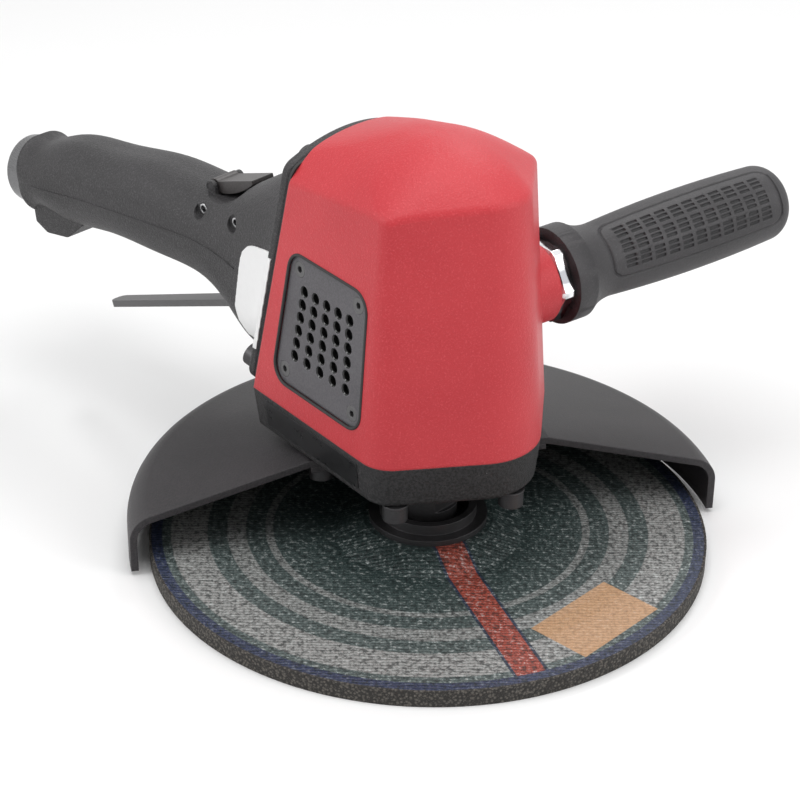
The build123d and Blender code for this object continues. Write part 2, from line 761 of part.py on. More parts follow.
# Base screws and their washers
with BuildPart() as base_screws:
    for angle in screw_angles:
        head_top = screw_seat(angle) - screw_washer_height
        at = polar(screw_circle_radius, angle)
        with BuildSketch(Plane.XY.offset(head_top)):
            with Locations(at):
                Circle(screw_radius)
        extrude(amount=joint_z + screw_grip - head_top)
        with BuildSketch(Plane.XY.offset(head_top)):
            with Locations(at):
                Circle(screw_head_radius)
        extrude(amount=-screw_head_height)
        with BuildSketch(Plane.XY.offset(head_top - screw_head_height)):
            with Locations(at):
                RegularPolygon(hex_socket / 2, 6, major_radius=False)
        extrude(amount=hex_depth, mode=Mode.SUBTRACT)

with BuildPart() as base_washers:
    for angle in screw_angles:
        with BuildSketch(Plane.XY.offset(screw_seat(angle))):
            with Locations(polar(screw_circle_radius, angle)):
                Circle(screw_washer_radius)
                Circle(screw_radius + seat_gap, mode=Mode.SUBTRACT)
        extrude(amount=-screw_washer_height)

guard_screw_points = [polar(screw_circle_radius, angle) for angle in screw_angles if under_guard(angle)]

# Guard: half shell of sheet with a flat collar, a sloping top and a turned-down skirt
with BuildPart() as guard:
    fall = tan(radians(guard_slope))
    drop = guard_sheet / cos(radians(guard_slope))
    inner_radius = guard_radius - guard_sheet
    bend_z = base_bottom - (guard_radius - guard_collar_outer) * fall
    inner_bend_z = base_bottom - (inner_radius - guard_collar_outer) * fall - drop
    inner_collar = guard_collar_outer - (drop - guard_sheet) / fall
    with BuildSketch(guard_plane) as guard_profile:
        with BuildLine():
            Polyline(
                (guard_collar_inner, base_bottom),
                (guard_collar_outer, base_bottom),
                (guard_radius, bend_z),
                (guard_radius, guard_skirt_bottom),
                (inner_radius, guard_skirt_bottom),
                (inner_radius, inner_bend_z),
                (inner_collar, base_bottom - guard_sheet),
                (guard_collar_inner, base_bottom - guard_sheet),
                close=True,
            )
        make_face()
        fillet(guard_profile.vertices().sort_by_distance((guard_radius, bend_z))[0], radius=guard_bend_round)
        inner_corner = guard_profile.vertices().sort_by_distance((inner_radius, inner_bend_z))[0]
        fillet(inner_corner, radius=guard_bend_round - guard_sheet)
    revolve(axis=Axis.Z, revolution_arc=guard_span)
    with BuildSketch(Plane.XY.offset(base_bottom)):
        with Locations(*guard_screw_points):
            Circle(screw_radius + seat_gap)
    extrude(amount=-guard_sheet, mode=Mode.SUBTRACT)

with BuildPart() as guard_clamp_plate:
    with BuildSketch(guard_plane):
        with BuildLine():
            plate_top = base_bottom - guard_sheet
            Polyline(
                (guard_collar_inner, plate_top),
                (clamp_plate_outer, plate_top),
                (clamp_plate_outer, plate_top - clamp_plate_thickness),
                (guard_collar_inner, plate_top - clamp_plate_thickness),
                close=True,
            )
        make_face()
    revolve(axis=Axis.Z, revolution_arc=guard_span)
    with BuildSketch(Plane.XY.offset(plate_top)):
        with Locations(*guard_screw_points):
            Circle(screw_radius + seat_gap)
    extrude(amount=-clamp_plate_thickness, mode=Mode.SUBTRACT)


def flange_outline(inset):
    """Outline close to the motor housing's rear face, drawn in by an inset."""
    narrowing = tan(radians(housing_draft)) * lean_cos / flank_dx - flank_dy / flank_dx * lean_sin
    crease_fall = tan(radians(crease_slope))
    crease = (crease_height + rear_x * crease_fall) / (lean_cos - lean_sin * crease_fall)
    corner = crease + flange_corner_rise - inset
    low_half = rear_half_width - inset
    top_half = low_half - narrowing * corner
    with BuildSketch() as outline:
        with BuildLine():
            Polyline((-top_half, corner), (-low_half, inset), (low_half, inset), (top_half, corner))
            ThreePointArc((top_half, corner), (0, corner + flange_crown), (-top_half, corner))
        make_face()
        fillet(outline.vertices(), radius=flange_corner_round)
    return outline.sketch


with BuildPart() as handle_gasket:
    with BuildSketch(rear_plane):
        add(flange_outline(flange_inset))
        with Locations(*flange_screw_points):
            Circle(screw_radius + seat_gap, mode=Mode.SUBTRACT)
        with Locations((0, air_port_rise)):
            Circle(air_bore_radius, mode=Mode.SUBTRACT)
    extrude(amount=gasket_thickness)


# Places and angles that the throttle handle's pieces share
flange_face = rear_plane.offset(gasket_thickness)
flange_back = flange_face.offset(flange_thickness)
neck_root = rear_plane.offset(gasket_thickness + flange_thickness / 2)
lever_run = lever_pivot_x - lever_tip_x
lever_fall = (lever_pivot_z - lever_tip_z) / lever_run
lever_angle = degrees(atan(lever_fall))
lever_length = hypot(lever_run, lever_pivot_z - lever_tip_z)
lever_dir = (-cos(radians(lever_angle)), 0, -sin(radians(lever_angle)))
lever_plane = Plane((lever_pivot_x, 0, lever_pivot_z), x_dir=lever_dir, z_dir=(0, 1, 0))
slot_margin = lever_hub_radius + slot_gap
squeezed_fall = tan(radians(lever_angle - lever_travel))
lock_angle = degrees(atan((lock_tip_z - lock_pivot_z) / (lock_tip_x - lock_pivot_x)))
lock_length = hypot(lock_tip_x - lock_pivot_x, lock_tip_z - lock_pivot_z)
lock_dir = (cos(radians(lock_angle)), 0, sin(radians(lock_angle)))
lock_plane = Plane((lock_pivot_x, 0, lock_pivot_z), x_dir=lock_dir, z_dir=(0, -1, 0))
stop_plane = Plane(inlet_plane.origin, x_dir=-inlet_plane.z_dir, z_dir=(0, -1, 0))
bushing_top = bushing_bottom + bushing_length
seat_z = bushing_bottom + seat_rise
outlet_z = (bushing_bottom + guide_length + seat_z) / 2
inlet_z = (seat_z + bushing_top) / 2
stem_x = valve_x + stem_radius
stem_bottom = (lever_pivot_z - (lever_pivot_x - stem_x) * lever_fall
               + lever_thickness / 2 / cos(radians(lever_angle)) + stem_lever_gap)
air_port = rear_plane.from_local_coords(Vector(0, air_port_rise, 0))
valve_outlet = Vector(valve_x, 0, outlet_z)
outlet_plane = Plane(valve_outlet, z_dir=air_port - valve_outlet)
bore_start = inlet_plane.from_local_coords(Vector(0, 0, -inlet_spigot_length))
valve_inlet = Vector(valve_x, 0, inlet_z)
bore_plane = Plane(bore_start, z_dir=valve_inlet - bore_start)


def squeezed_top(x):
    """Height that the squeezed lever's upper side clears at a place along the slot."""
    return lever_pivot_z - (lever_pivot_x - x) * squeezed_fall + lever_thickness / 2 + slot_gap


# Throttle handle: flange, swelling neck, drooping grip and hand stop in one moulding
with BuildPart() as throttle_handle:
    with BuildSketch(flange_face):
        add(flange_outline(flange_inset))
    extrude(amount=flange_thickness)
    fillet(throttle_handle.faces().sort_by_distance(flange_back.origin)[0].edges(), radius=flange_edge_round)
    with BuildSketch(neck_root):
        with Locations((0, neck_root_rise)):
            RectangleRounded(neck_root_width, neck_root_height, neck_root_round)
    end_row = (handle_end_x, handle_end_z, handle_end_height, handle_end_width, handle_end_lean)
    for x, z, height, width, lean in (*handle_rows, end_row):
        facing = (-cos(radians(lean)), 0, sin(radians(lean)))
        with BuildSketch(Plane((x, 0, z), x_dir=(0, -1, 0), z_dir=facing)):
            RectangleRounded(width, height, handle_roundness * min(width, height))
    loft()
    stop_bottom = -handle_end_height / 2 - stop_depth
    with BuildSketch(stop_plane) as stop_profile:
        with BuildLine():
            Polyline(
                (0, 0),
                (0, stop_bottom + stop_heel_rise),
                (stop_heel_length, stop_bottom),
                (stop_length - stop_slope_length, stop_bottom),
                (stop_length, stop_bottom + stop_depth),
                (stop_length, 0),
                close=True,
            )
        make_face()
        fillet(stop_profile.vertices().group_by(Axis.Y)[0], radius=stop_round)
    extrude(amount=stop_width / 2, both=True)
    with BuildSketch(inlet_plane):
        Circle(inlet_spigot_radius + seat_gap)
    extrude(amount=-inlet_spigot_length - screen_thickness, mode=Mode.SUBTRACT)
    with BuildSketch(bore_plane):
        Circle(air_bore_radius)
    extrude(amount=(valve_inlet - bore_start).length, mode=Mode.SUBTRACT)
    with BuildSketch(outlet_plane):
        Circle(valve_outlet_radius)
    extrude(amount=(air_port - valve_outlet).length, mode=Mode.SUBTRACT)
    with BuildSketch(Plane.XY.offset(lever_tip_z)):
        with Locations((valve_x, 0)):
            Circle(bushing_radius + seat_gap)
    extrude(amount=bushing_top - lever_tip_z, mode=Mode.SUBTRACT)
    with BuildSketch(Plane.XZ):
        with BuildLine():
            Polyline(
                (lever_pivot_x + slot_margin, lever_pivot_z + slot_margin),
                (lever_pivot_x - slot_margin, lever_pivot_z + slot_margin),
                (lever_pivot_x - slot_margin, squeezed_top(lever_pivot_x - slot_margin)),
                (lever_tip_x, squeezed_top(lever_tip_x)),
                (lever_tip_x, lever_tip_z),
                (lever_pivot_x + slot_margin, lever_tip_z),
                close=True,
            )
        make_face()
    extrude(amount=lever_width / 2 + slot_gap, both=True, mode=Mode.SUBTRACT)
    scoop_rise = scoop_radius - scoop_depth
    with BuildSketch(lock_plane):
        with Locations((lock_length / 2, scoop_rise)):
            Circle(scoop_radius)
    extrude(amount=neck_root_width, both=True, mode=Mode.SUBTRACT)
    with BuildSketch(lock_plane):
        Circle(lock_ear_radius)
        with Locations((0, -scoop_depth / 2)):
            Rectangle(2 * lock_ear_radius, scoop_depth)
    extrude(amount=lock_pin_length / 2, both=True)
    lock_drop = lock_length * sin(radians(lock_travel))
    with BuildSketch(lock_plane):
        with BuildLine():
            Polyline(
                (-lock_end_radius - slot_gap, -lock_belly - 2 * slot_gap),
                (lock_length + slot_gap, -2 * slot_gap - lock_drop),
                (lock_length + slot_gap, scoop_depth),
                (-lock_end_radius - slot_gap, scoop_depth),
                close=True,
            )
        make_face()
    extrude(amount=lock_width / 2 + slot_gap, both=True, mode=Mode.SUBTRACT)
    with BuildSketch(lock_plane):
        Circle(lock_pin_radius + seat_gap)
    extrude(amount=lock_pin_length / 2, both=True, mode=Mode.SUBTRACT)
    with BuildSketch(lever_plane):
        Circle(lever_pin_radius + seat_gap)
    extrude(amount=lever_pin_length / 2, both=True, mode=Mode.SUBTRACT)
    for x, z, half_width in spring_pins:
        with BuildSketch(Plane.XZ):
            with Locations((x, z)):
                Circle(spring_pin_radius + seat_gap)
        extrude(amount=neck_root_width, both=True, mode=Mode.SUBTRACT)
        for side in (1, -1):
            with BuildSketch(Plane.XZ.offset(side * (half_width - spring_pin_sink))):
                with Locations((x, z)):
                    Circle(spring_pin_recess)
            extrude(amount=side * neck_root_width, mode=Mode.SUBTRACT)
    with BuildSketch(flange_face):
        with Locations(*flange_screw_points):
            Circle(screw_radius + seat_gap)
    extrude(amount=flange_thickness, mode=Mode.SUBTRACT)
    with BuildSketch(flange_back):
        with Locations(*flange_screw_points):
            Circle(screw_head_radius + panel_gap)
    extrude(amount=flange_screw_pocket, mode=Mode.SUBTRACT)

# Flange screws: cap heads on the flange's outer face
with BuildPart() as flange_screws:
    with BuildSketch(flange_back):
        with Locations(*flange_screw_points):
            Circle(screw_head_radius)
    extrude(amount=screw_head_height)
    with BuildSketch(flange_back):
        with Locations(*flange_screw_points):
            Circle(screw_radius)
    extrude(amount=-flange_screw_length)
    with BuildSketch(flange_back.offset(screw_head_height)):
        with Locations(*flange_screw_points):
            RegularPolygon(hex_socket / 2, 6, major_radius=False)
    extrude(amount=-hex_depth, mode=Mode.SUBTRACT)

# Air inlet: threaded ring screwed in the handle's end, with a strainer behind it
with BuildPart() as inlet_bushing:
    with BuildSketch(inlet_plane):
        Circle(inlet_ring_radius)
    extrude(amount=inlet_ring_length)
    outer_end = inlet_plane.offset(inlet_ring_length).origin
    chamfer(inlet_bushing.faces().sort_by_distance(outer_end)[0].edges(), length=inlet_chamfer)
    with BuildSketch(inlet_plane):
        Circle(inlet_spigot_radius)
    extrude(amount=-inlet_spigot_length)
    with BuildSketch(inlet_plane.offset(inlet_ring_length)):
        Circle(inlet_thread_radius)
    extrude(amount=-inlet_thread_depth, mode=Mode.SUBTRACT)
    with BuildSketch(inlet_plane.offset(inlet_ring_length)):
        Circle(air_bore_radius)
    extrude(amount=-inlet_ring_length - inlet_spigot_length, mode=Mode.SUBTRACT)

with BuildPart() as inlet_screen:
    with BuildSketch(inlet_plane.offset(-inlet_spigot_length)):
        Circle(inlet_spigot_radius)
        with PolarLocations(screen_hole_circle_radius, screen_hole_count):
            Circle(screen_hole_radius, mode=Mode.SUBTRACT)
        Circle(screen_hole_radius, mode=Mode.SUBTRACT)
    extrude(amount=-screen_thickness)

# Throttle valve: bushing with a seat, valve with a lever-side stem, seal and spring
with BuildPart() as valve_bushing:
    with BuildSketch(Plane.XY.offset(bushing_bottom)):
        with Locations((valve_x, 0)):
            Circle(bushing_radius)
            Circle(stem_radius + turn_gap / 2, mode=Mode.SUBTRACT)
    extrude(amount=bushing_length)
    with BuildSketch(Plane.XY.offset(bushing_bottom + guide_length)):
        with Locations((valve_x, 0)):
            Circle(lower_chamber_radius)
    extrude(amount=bushing_length, mode=Mode.SUBTRACT)
    with BuildSketch(Plane.XY.offset(seat_z)):
        with Locations((valve_x, 0)):
            Circle(upper_chamber_radius)
    extrude(amount=bushing_length, mode=Mode.SUBTRACT)
    with BuildSketch(Plane.YZ.offset(valve_x)):
        with Locations((0, outlet_z)):
            Circle(valve_outlet_radius)
    extrude(amount=2 * bushing_radius, mode=Mode.SUBTRACT)
    with BuildSketch(Plane.YZ.offset(valve_x)):
        with Locations((0, inlet_z)):
            Circle(valve_inlet_radius)
    extrude(amount=-2 * bushing_radius, mode=Mode.SUBTRACT)

head_z = seat_z + seat_gap + valve_seal_thickness
with BuildPart() as throttle_valve:
    with BuildSketch(Plane.XY.offset(stem_bottom)):
        with Locations((valve_x, 0)):
            Circle(stem_radius)
    extrude(amount=head_z - stem_bottom)
    with BuildSketch(Plane.XY.offset(head_z)):
        with Locations((valve_x, 0)):
            Circle(upper_chamber_radius - 2 * turn_gap)
    extrude(amount=valve_head_thickness)

with BuildPart() as valve_seal:
    with BuildSketch(Plane.XY.offset(head_z)):
        with Locations((valve_x, 0)):
            Circle(upper_chamber_radius - 3 * turn_gap)
            Circle(stem_radius + seat_gap, mode=Mode.SUBTRACT)
    extrude(amount=-valve_seal_thickness)

with BuildPart() as valve_spring:
    spring_radius = upper_chamber_radius - 3 * turn_gap
    with BuildSketch(Plane.XY.offset(head_z + valve_head_thickness)):
        with Locations((valve_x, 0)):
            Circle(spring_radius)
            Circle(spring_radius - valve_spring_wall, mode=Mode.SUBTRACT)
    extrude(amount=bushing_top - head_z - valve_head_thickness)

# Throttle lever: hub on its pin, tapering flat bar with a round end
with BuildPart() as throttle_lever:
    with BuildSketch(lever_plane):
        Circle(lever_hub_radius)
    extrude(amount=lever_width / 2, both=True)
    with BuildSketch(lever_plane.offset(-lever_width)):
        with Locations((lever_length / 2, 0)):
            Rectangle(lever_length, lever_thickness)
    extrude(amount=2 * lever_width)
    blade = Plane(lever_plane.origin, x_dir=lever_plane.x_dir, z_dir=lever_plane.y_dir)
    with BuildSketch(blade) as blade_plan:
        with BuildLine():
            Polyline(
                (-lever_hub_radius, lever_width / 2),
                (lever_length, lever_tip_width / 2),
                (lever_length, -lever_tip_width / 2),
                (-lever_hub_radius, -lever_width / 2),
                close=True,
            )
        make_face()
        fillet(blade_plan.vertices().group_by(Axis.X)[-1], radius=lever_tip_round)
    extrude(amount=2 * lever_hub_radius, both=True, mode=Mode.INTERSECT)
    with BuildSketch(lever_plane):
        Circle(lever_pin_radius + turn_gap / 2)
    extrude(amount=lever_width, both=True, mode=Mode.SUBTRACT)

with BuildPart() as lever_pin:
    with BuildSketch(lever_plane):
        Circle(lever_pin_radius)
    extrude(amount=lever_pin_length / 2, both=True)

# Lock lever: thumb tongue hinged at its outer end
with BuildPart() as lock_lever:
    with BuildSketch(lock_plane):
        with BuildLine():
            Polyline((0, -lock_end_radius), (0, lock_top), (lock_length, lock_top), (lock_length, 0))
            ThreePointArc((lock_length, 0), (lock_length / 2, -lock_belly), (0, -lock_end_radius))
        make_face()
        Circle(lock_end_radius)
        Circle(lock_pin_radius + turn_gap / 2, mode=Mode.SUBTRACT)
    extrude(amount=lock_width / 2, both=True)

with BuildPart() as lock_pin:
    with BuildSketch(lock_plane):
        Circle(lock_pin_radius)
    extrude(amount=lock_pin_length / 2, both=True)

# Hollow spring pins that hold the valve's chamber, sunk in recesses of the neck
with BuildPart() as neck_spring_pins:
    for x, z, half_width in spring_pins:
        with BuildSketch(Plane.XZ):
            with Locations((x, z)):
                Circle(spring_pin_radius)
                Circle(spring_pin_bore, mode=Mode.SUBTRACT)
        extrude(amount=half_width - spring_pin_sink, both=True)

# Dead handle: stud in the housing's boss, hexagon collar, moulded grip
dead_profile = Plane((0, 0, dead_z), x_dir=dead_dir, z_dir=polar(1, dead_angle - 90))
dead_axis = Axis((0, 0, dead_z), dead_dir)
grip_start = dead_boss_reach + dead_collar_length
grip_end = grip_start + grip_length
stud_end = grip_end - grip_stud_cover

with BuildPart() as dead_handle_stud:
    with BuildSketch(dead_plane.offset(dead_boss_reach - dead_stud_in)):
        Circle(dead_stud_radius)
    extrude(amount=stud_end - dead_boss_reach + dead_stud_in)

with BuildPart() as dead_handle_collar:
    with BuildSketch(dead_plane.offset(dead_boss_reach)):
        RegularPolygon(collar_across / 2, 6, major_radius=False)
        Circle(collar_corner_radius, mode=Mode.INTERSECT)
    extrude(amount=dead_collar_length)
    for end in (dead_boss_reach, grip_start):
        end_face = dead_handle_collar.faces().sort_by_distance(dead_plane.offset(end).origin)[0]
        chamfer(end_face.edges(), length=collar_bevel)
    with BuildSketch(dead_plane.offset(dead_boss_reach)):
        Circle(dead_stud_radius + seat_gap)
    extrude(amount=dead_collar_length, mode=Mode.SUBTRACT)

with BuildPart() as dead_handle_grip:
    flange_end = grip_start + grip_flange_width
    waist = grip_start + grip_neck_length
    swell = (waist + grip_end) / 2
    neck_middle = (flange_end + waist) / 2 - grip_neck_hollow
    neck_radius = (grip_flange_radius + grip_waist_radius - grip_neck_hollow) / 2
    with BuildSketch(dead_profile):
        with BuildLine():
            Polyline(
                (grip_end, 0),
                (stud_end, 0),
                (stud_end, dead_stud_radius + seat_gap),
                (grip_start, dead_stud_radius + seat_gap),
                (grip_start, grip_flange_radius),
                (flange_end, grip_flange_radius),
            )
            ThreePointArc(
                (flange_end, grip_flange_radius),
                (neck_middle, neck_radius),
                (waist, grip_waist_radius),
            )
            ThreePointArc(
                (waist, grip_waist_radius),
                (swell, grip_radius),
                (grip_end - grip_end_round, grip_end_radius),
            )
            RadiusArc(
                (grip_end - grip_end_round, grip_end_radius),
                (grip_end, grip_end_radius - grip_end_round),
                grip_end_round,
            )
            Line((grip_end, grip_end_radius - grip_end_round), (grip_end, 0))
        make_face()
    revolve(axis=dead_axis)

for piece_name, piece in (
    ("motor_housing", motor_housing),
    ("base_housing", base_housing),
    ("exhaust_plate", exhaust_plate),
    ("exhaust_screws", exhaust_screws),
    ("silencer_felt", silencer_felt),
    ("base_screws", base_screws),
    ("base_washers", base_washers),
    ("guard", guard),
    ("guard_clamp_plate", guard_clamp_plate),
    ("cylinder", cylinder),
    ("lower_end_plate", lower_end_plate),
    ("upper_end_plate", upper_end_plate),
    ("lower_bearing", lower_bearing),
    ("upper_bearing", upper_bearing),
    ("bearing_retainer", bearing_retainer),
    ("spindle_seal", spindle_seal),
    ("preload_washer", preload_washer),
    ("spindle", spindle),
    ("rotor", rotor),
    ("rotor_key", rotor_key),
    ("vanes", vanes),
    ("lower_inner_ring", lower_inner_ring),
    ("upper_inner_ring", upper_inner_ring),
    ("inner_flange", inner_flange),
    ("grinding_wheel", grinding_wheel),
    ("flange_nut", flange_nut),
    ("handle_gasket", handle_gasket),
    ("throttle_handle", throttle_handle),
    ("flange_screws", flange_screws),
    ("inlet_bushing", inlet_bushing),
    ("inlet_screen", inlet_screen),
    ("valve_bushing", valve_bushing),
    ("throttle_valve", throttle_valve),
    ("valve_seal", valve_seal),
    ("valve_spring", valve_spring),
    ("throttle_lever", throttle_lever),
    ("lever_pin", lever_pin),
    ("lock_lever", lock_lever),
    ("lock_pin", lock_pin),
    ("neck_spring_pins", neck_spring_pins),
    ("dead_handle_stud", dead_handle_stud),
    ("dead_handle_collar", dead_handle_collar),
    ("dead_handle_grip", dead_handle_grip),
):
    export(piece, piece_name)
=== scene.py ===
# %% [markdown]
# # A vertical air grinder
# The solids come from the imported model, already in place and in metres. This lesson gives them their
# finishes, adds the thin pieces that a solid model leaves out, and sets up the camera and the light.
# Nothing is moved: a piece goes where the model says it is.

# %% Load the model
import math

import bpy
from mathutils import Matrix, Vector


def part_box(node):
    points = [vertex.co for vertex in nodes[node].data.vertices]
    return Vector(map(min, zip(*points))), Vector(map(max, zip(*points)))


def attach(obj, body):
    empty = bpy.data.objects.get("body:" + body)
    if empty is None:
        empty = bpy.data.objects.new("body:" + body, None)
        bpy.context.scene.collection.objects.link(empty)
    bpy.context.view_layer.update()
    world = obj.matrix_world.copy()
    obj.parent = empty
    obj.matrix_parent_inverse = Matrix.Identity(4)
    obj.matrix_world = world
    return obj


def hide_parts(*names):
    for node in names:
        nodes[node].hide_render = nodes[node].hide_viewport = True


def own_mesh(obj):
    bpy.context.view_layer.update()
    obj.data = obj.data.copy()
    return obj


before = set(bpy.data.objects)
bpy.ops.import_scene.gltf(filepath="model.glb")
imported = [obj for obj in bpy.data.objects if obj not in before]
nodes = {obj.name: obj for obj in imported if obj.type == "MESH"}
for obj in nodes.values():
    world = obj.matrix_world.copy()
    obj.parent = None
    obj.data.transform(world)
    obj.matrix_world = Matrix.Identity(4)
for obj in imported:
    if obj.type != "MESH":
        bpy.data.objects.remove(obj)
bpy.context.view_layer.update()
print("pieces from the model:", len(nodes))

# %% [markdown]
# ## Shader maths
# A finish is a small graph of nodes. Wiring each sum by hand hides what it works out, so one small class
# wraps a socket, and an ordinary Python expression then adds the Math nodes. Colours and vectors don't go
# through Math nodes, because these would turn a colour grey: they have their own methods further down.


# %% A socket that can be used in sums
class Value:
    def __init__(self, graph, socket):
        self.graph = graph
        self.socket = socket

    def math(self, operation, *others):
        sockets = {0: self}
        for index, other in enumerate(others, start=1):
            sockets[index] = other
        return self.graph.node("ShaderNodeMath", {"operation": operation}, sockets)

    def __add__(self, other):
        return self.math("ADD", other)

    def __sub__(self, other):
        return self.math("SUBTRACT", other)

    def __rsub__(self, other):
        return self.graph.node("ShaderNodeMath", {"operation": "SUBTRACT"}, {0: other, 1: self})

    def __mul__(self, other):
        return self.math("MULTIPLY", other)

    def __truediv__(self, other):
        return self.math("DIVIDE", other)

    def __abs__(self):
        return self.math("ABSOLUTE")

    __radd__ = __add__
    __rmul__ = __mul__

    def sine(self):
        return self.math("SINE")

    def fraction(self):
        return self.math("FRACT")

    def root(self):
        return self.math("SQRT")

    def larger(self, other):
        return self.math("MAXIMUM", other)

    def angle_to(self, other):
        return self.math("ARCTAN2", other)

    def rise(self, low, high):
        """0 on low's side and 1 on high's, with a soft step between. Either may be the larger number."""
        settings = {"interpolation_type": "SMOOTHSTEP"}
        return self.graph.node("ShaderNodeMapRange", settings, {0: self, 1: low, 2: high})


# %% [markdown]
# Any node, in a finish or in the surround, is added by the same method: its settings come first, then what
# goes into its sockets. An output node has nothing to hand on, so it gives back nothing.


# %% A graph of nodes
class Graph:
    def __init__(self, tree):
        self.tree = tree
        self.tree.nodes.clear()

    def node(self, kind, settings=None, sockets=None, output=0):
        made = self.tree.nodes.new(kind)
        for key, value in (settings or {}).items():
            setattr(made, key, value)
        for key, value in (sockets or {}).items():
            self.feed(made.inputs[key], value)
        if len(made.outputs):
            return Value(self, made.outputs[output])

    def feed(self, socket, value):
        if isinstance(value, Value):
            self.tree.links.new(value.socket, socket)
        else:
            socket.default_value = value


# %% [markdown]
# ## A finish
# Each finish is one material with a Principled shader. The patterns read Object coordinates, which for
# these pieces are metres from the middle of the wheel's grinding face, so a scale of 1000 means grains of
# about 1 mm.


# %% The material and its patterns
class Finish(Graph):
    def __init__(self, name):
        self.material = bpy.data.materials.new(name)
        self.material.use_nodes = True
        super().__init__(self.material.node_tree)
        self.shader = self.tree.nodes.new("ShaderNodeBsdfPrincipled")
        output = self.tree.nodes.new("ShaderNodeOutputMaterial")
        self.tree.links.new(self.shader.outputs["BSDF"], output.inputs["Surface"])
        print("finish:", name)

    def set(self, **sockets):
        for name, value in sockets.items():
            self.feed(self.shader.inputs[name.replace("_", " ")], value)

    def place(self):
        return self.node("ShaderNodeTexCoord", output="Object")

    def facing(self):
        return self.node("ShaderNodeNewGeometry", output="Normal")

    def parts(self, vector):
        return [self.node("ShaderNodeSeparateXYZ", None, {0: vector}, axis) for axis in "XYZ"]

    def noise(self, scale, detail=2.0, roughness=0.5, vector=None):
        sockets = {"Scale": scale, "Detail": detail, "Roughness": roughness}
        sockets["Vector"] = vector or self.place()
        return self.node("ShaderNodeTexNoise", None, sockets)

    def cells(self, scale):
        """How far a point is from the middle of its cell."""
        sockets = {"Vector": self.place(), "Scale": scale}
        return self.node("ShaderNodeTexVoronoi", {"feature": "F1"}, sockets, "Distance")

    def mix(self, factor, first, second):
        sockets = {0: factor, 6: first, 7: second}
        return self.node("ShaderNodeMix", {"data_type": "RGBA"}, sockets, 2)

    def softened(self, radius):
        """The surface's direction, rounded over at edges."""
        return self.node("ShaderNodeBevel", {"samples": 4}, {"Radius": radius})

    def agreement(self, first, second):
        """1 where two directions are the same, 0 where they are square to each other."""
        sockets = {0: first, 1: second}
        return self.node("ShaderNodeVectorMath", {"operation": "DOT_PRODUCT"}, sockets, "Value")

    def edge(self, softened):
        """1 on sharp edges, 0 on open surfaces."""
        return 1 - self.agreement(softened, self.facing()).rise(0.86, 0.99)

    def bump(self, height, strength, depth, normal=None):
        sockets = {"Height": height, "Strength": strength, "Distance": depth}
        if normal:
            sockets["Normal"] = normal
        return self.node("ShaderNodeBump", None, sockets)


def wear(finish, *names):
    """Gives a finish to solids of the model."""
    for name in names:
        nodes[name].data.materials.clear()
        nodes[name].data.materials.append(finish.material)


# %% [markdown]
# ## Red paint
# The motor housing is an aluminium casting with a textured powder coat: a fine orange peel with a grain
# of well under a millimetre, satin rather than glossy. The grain makes the highlight break up into small
# points, so it goes into the bump and a little into the roughness. A broad, faint change of tone keeps the
# large faces from looking like plastic.

# %% Red paint
red_paint = Finish("red_paint")
grain = red_paint.noise(1500, 3)
peel = red_paint.noise(520, 2)
fleck = red_paint.noise(1500, 3, 0.7).rise(0.52, 0.68)
cloud = red_paint.noise(16, 3)
soft_red = red_paint.softened(0.0012)
# Sharp edges are painted a lighter red.
lighter_edges = red_paint.edge(soft_red) * 0.35
red = red_paint.mix(cloud.rise(0.3, 0.7), (0.50, 0.030, 0.040, 1), (0.56, 0.040, 0.050, 1))
red = red_paint.mix(fleck * 0.5, red, (0.70, 0.10, 0.115, 1))
red_paint.set(
    Base_Color=red_paint.mix(lighter_edges, red, (0.68, 0.12, 0.12, 1)),
    Roughness=0.34 + 0.18 * grain,
    Normal=red_paint.bump(grain * 0.7 + peel * 0.5, 0.6, 0.0005, soft_red),
    Specular_IOR_Level=0.36,
)
wear(red_paint, "motor_housing")

# %% [markdown]
# ## Dark castings, sheet and plate
# The base is a rough casting under a thin black coat, the guard is pressed sheet with a smoother coat, and
# the exhaust plate is a lighter satin grey. They share one recipe with different grain, tone and depth,
# so a function makes all three. A few pale dust specks stop the dark coats from reading as a flat hole.
# The plate's bores, which are the faces square to its open side, are painted near-black as shade in the
# deep holes.


# %% Coated metal
def coated_metal(name, dark, pale, grain_scale, depth, roughness, dust, open_side=None):
    finish = Finish(name)
    grain = finish.noise(grain_scale, 4, 0.6)
    cloud = finish.noise(30, 4)
    specks = finish.cells(420).rise(0.10, 0.03) * finish.noise(60, 2).rise(0.5, 0.7)
    soft = finish.softened(0.0008)
    tone = finish.mix(cloud.rise(0.35, 0.7) * 0.3 + grain.rise(0.38, 0.62) * 0.7, (*dark, 1), (*pale, 1))
    edged = finish.mix(finish.edge(soft) * 0.3, tone, tuple(3.0 * c for c in pale) + (1,))
    colour = finish.mix(specks * dust, edged, (0.32, 0.31, 0.30, 1))
    if open_side:
        # Painted shade: the bores go near-black.
        bore_shade = abs(finish.agreement(finish.facing(), open_side)).rise(0.35, 0.20)
        colour = finish.mix(bore_shade, colour, (0.004, 0.004, 0.004, 1))
    finish.set(
        Base_Color=colour,
        Roughness=roughness + 0.2 * grain,
        Normal=finish.bump(grain, 0.4, depth, soft),
        Specular_IOR_Level=0.45,
    )
    return finish


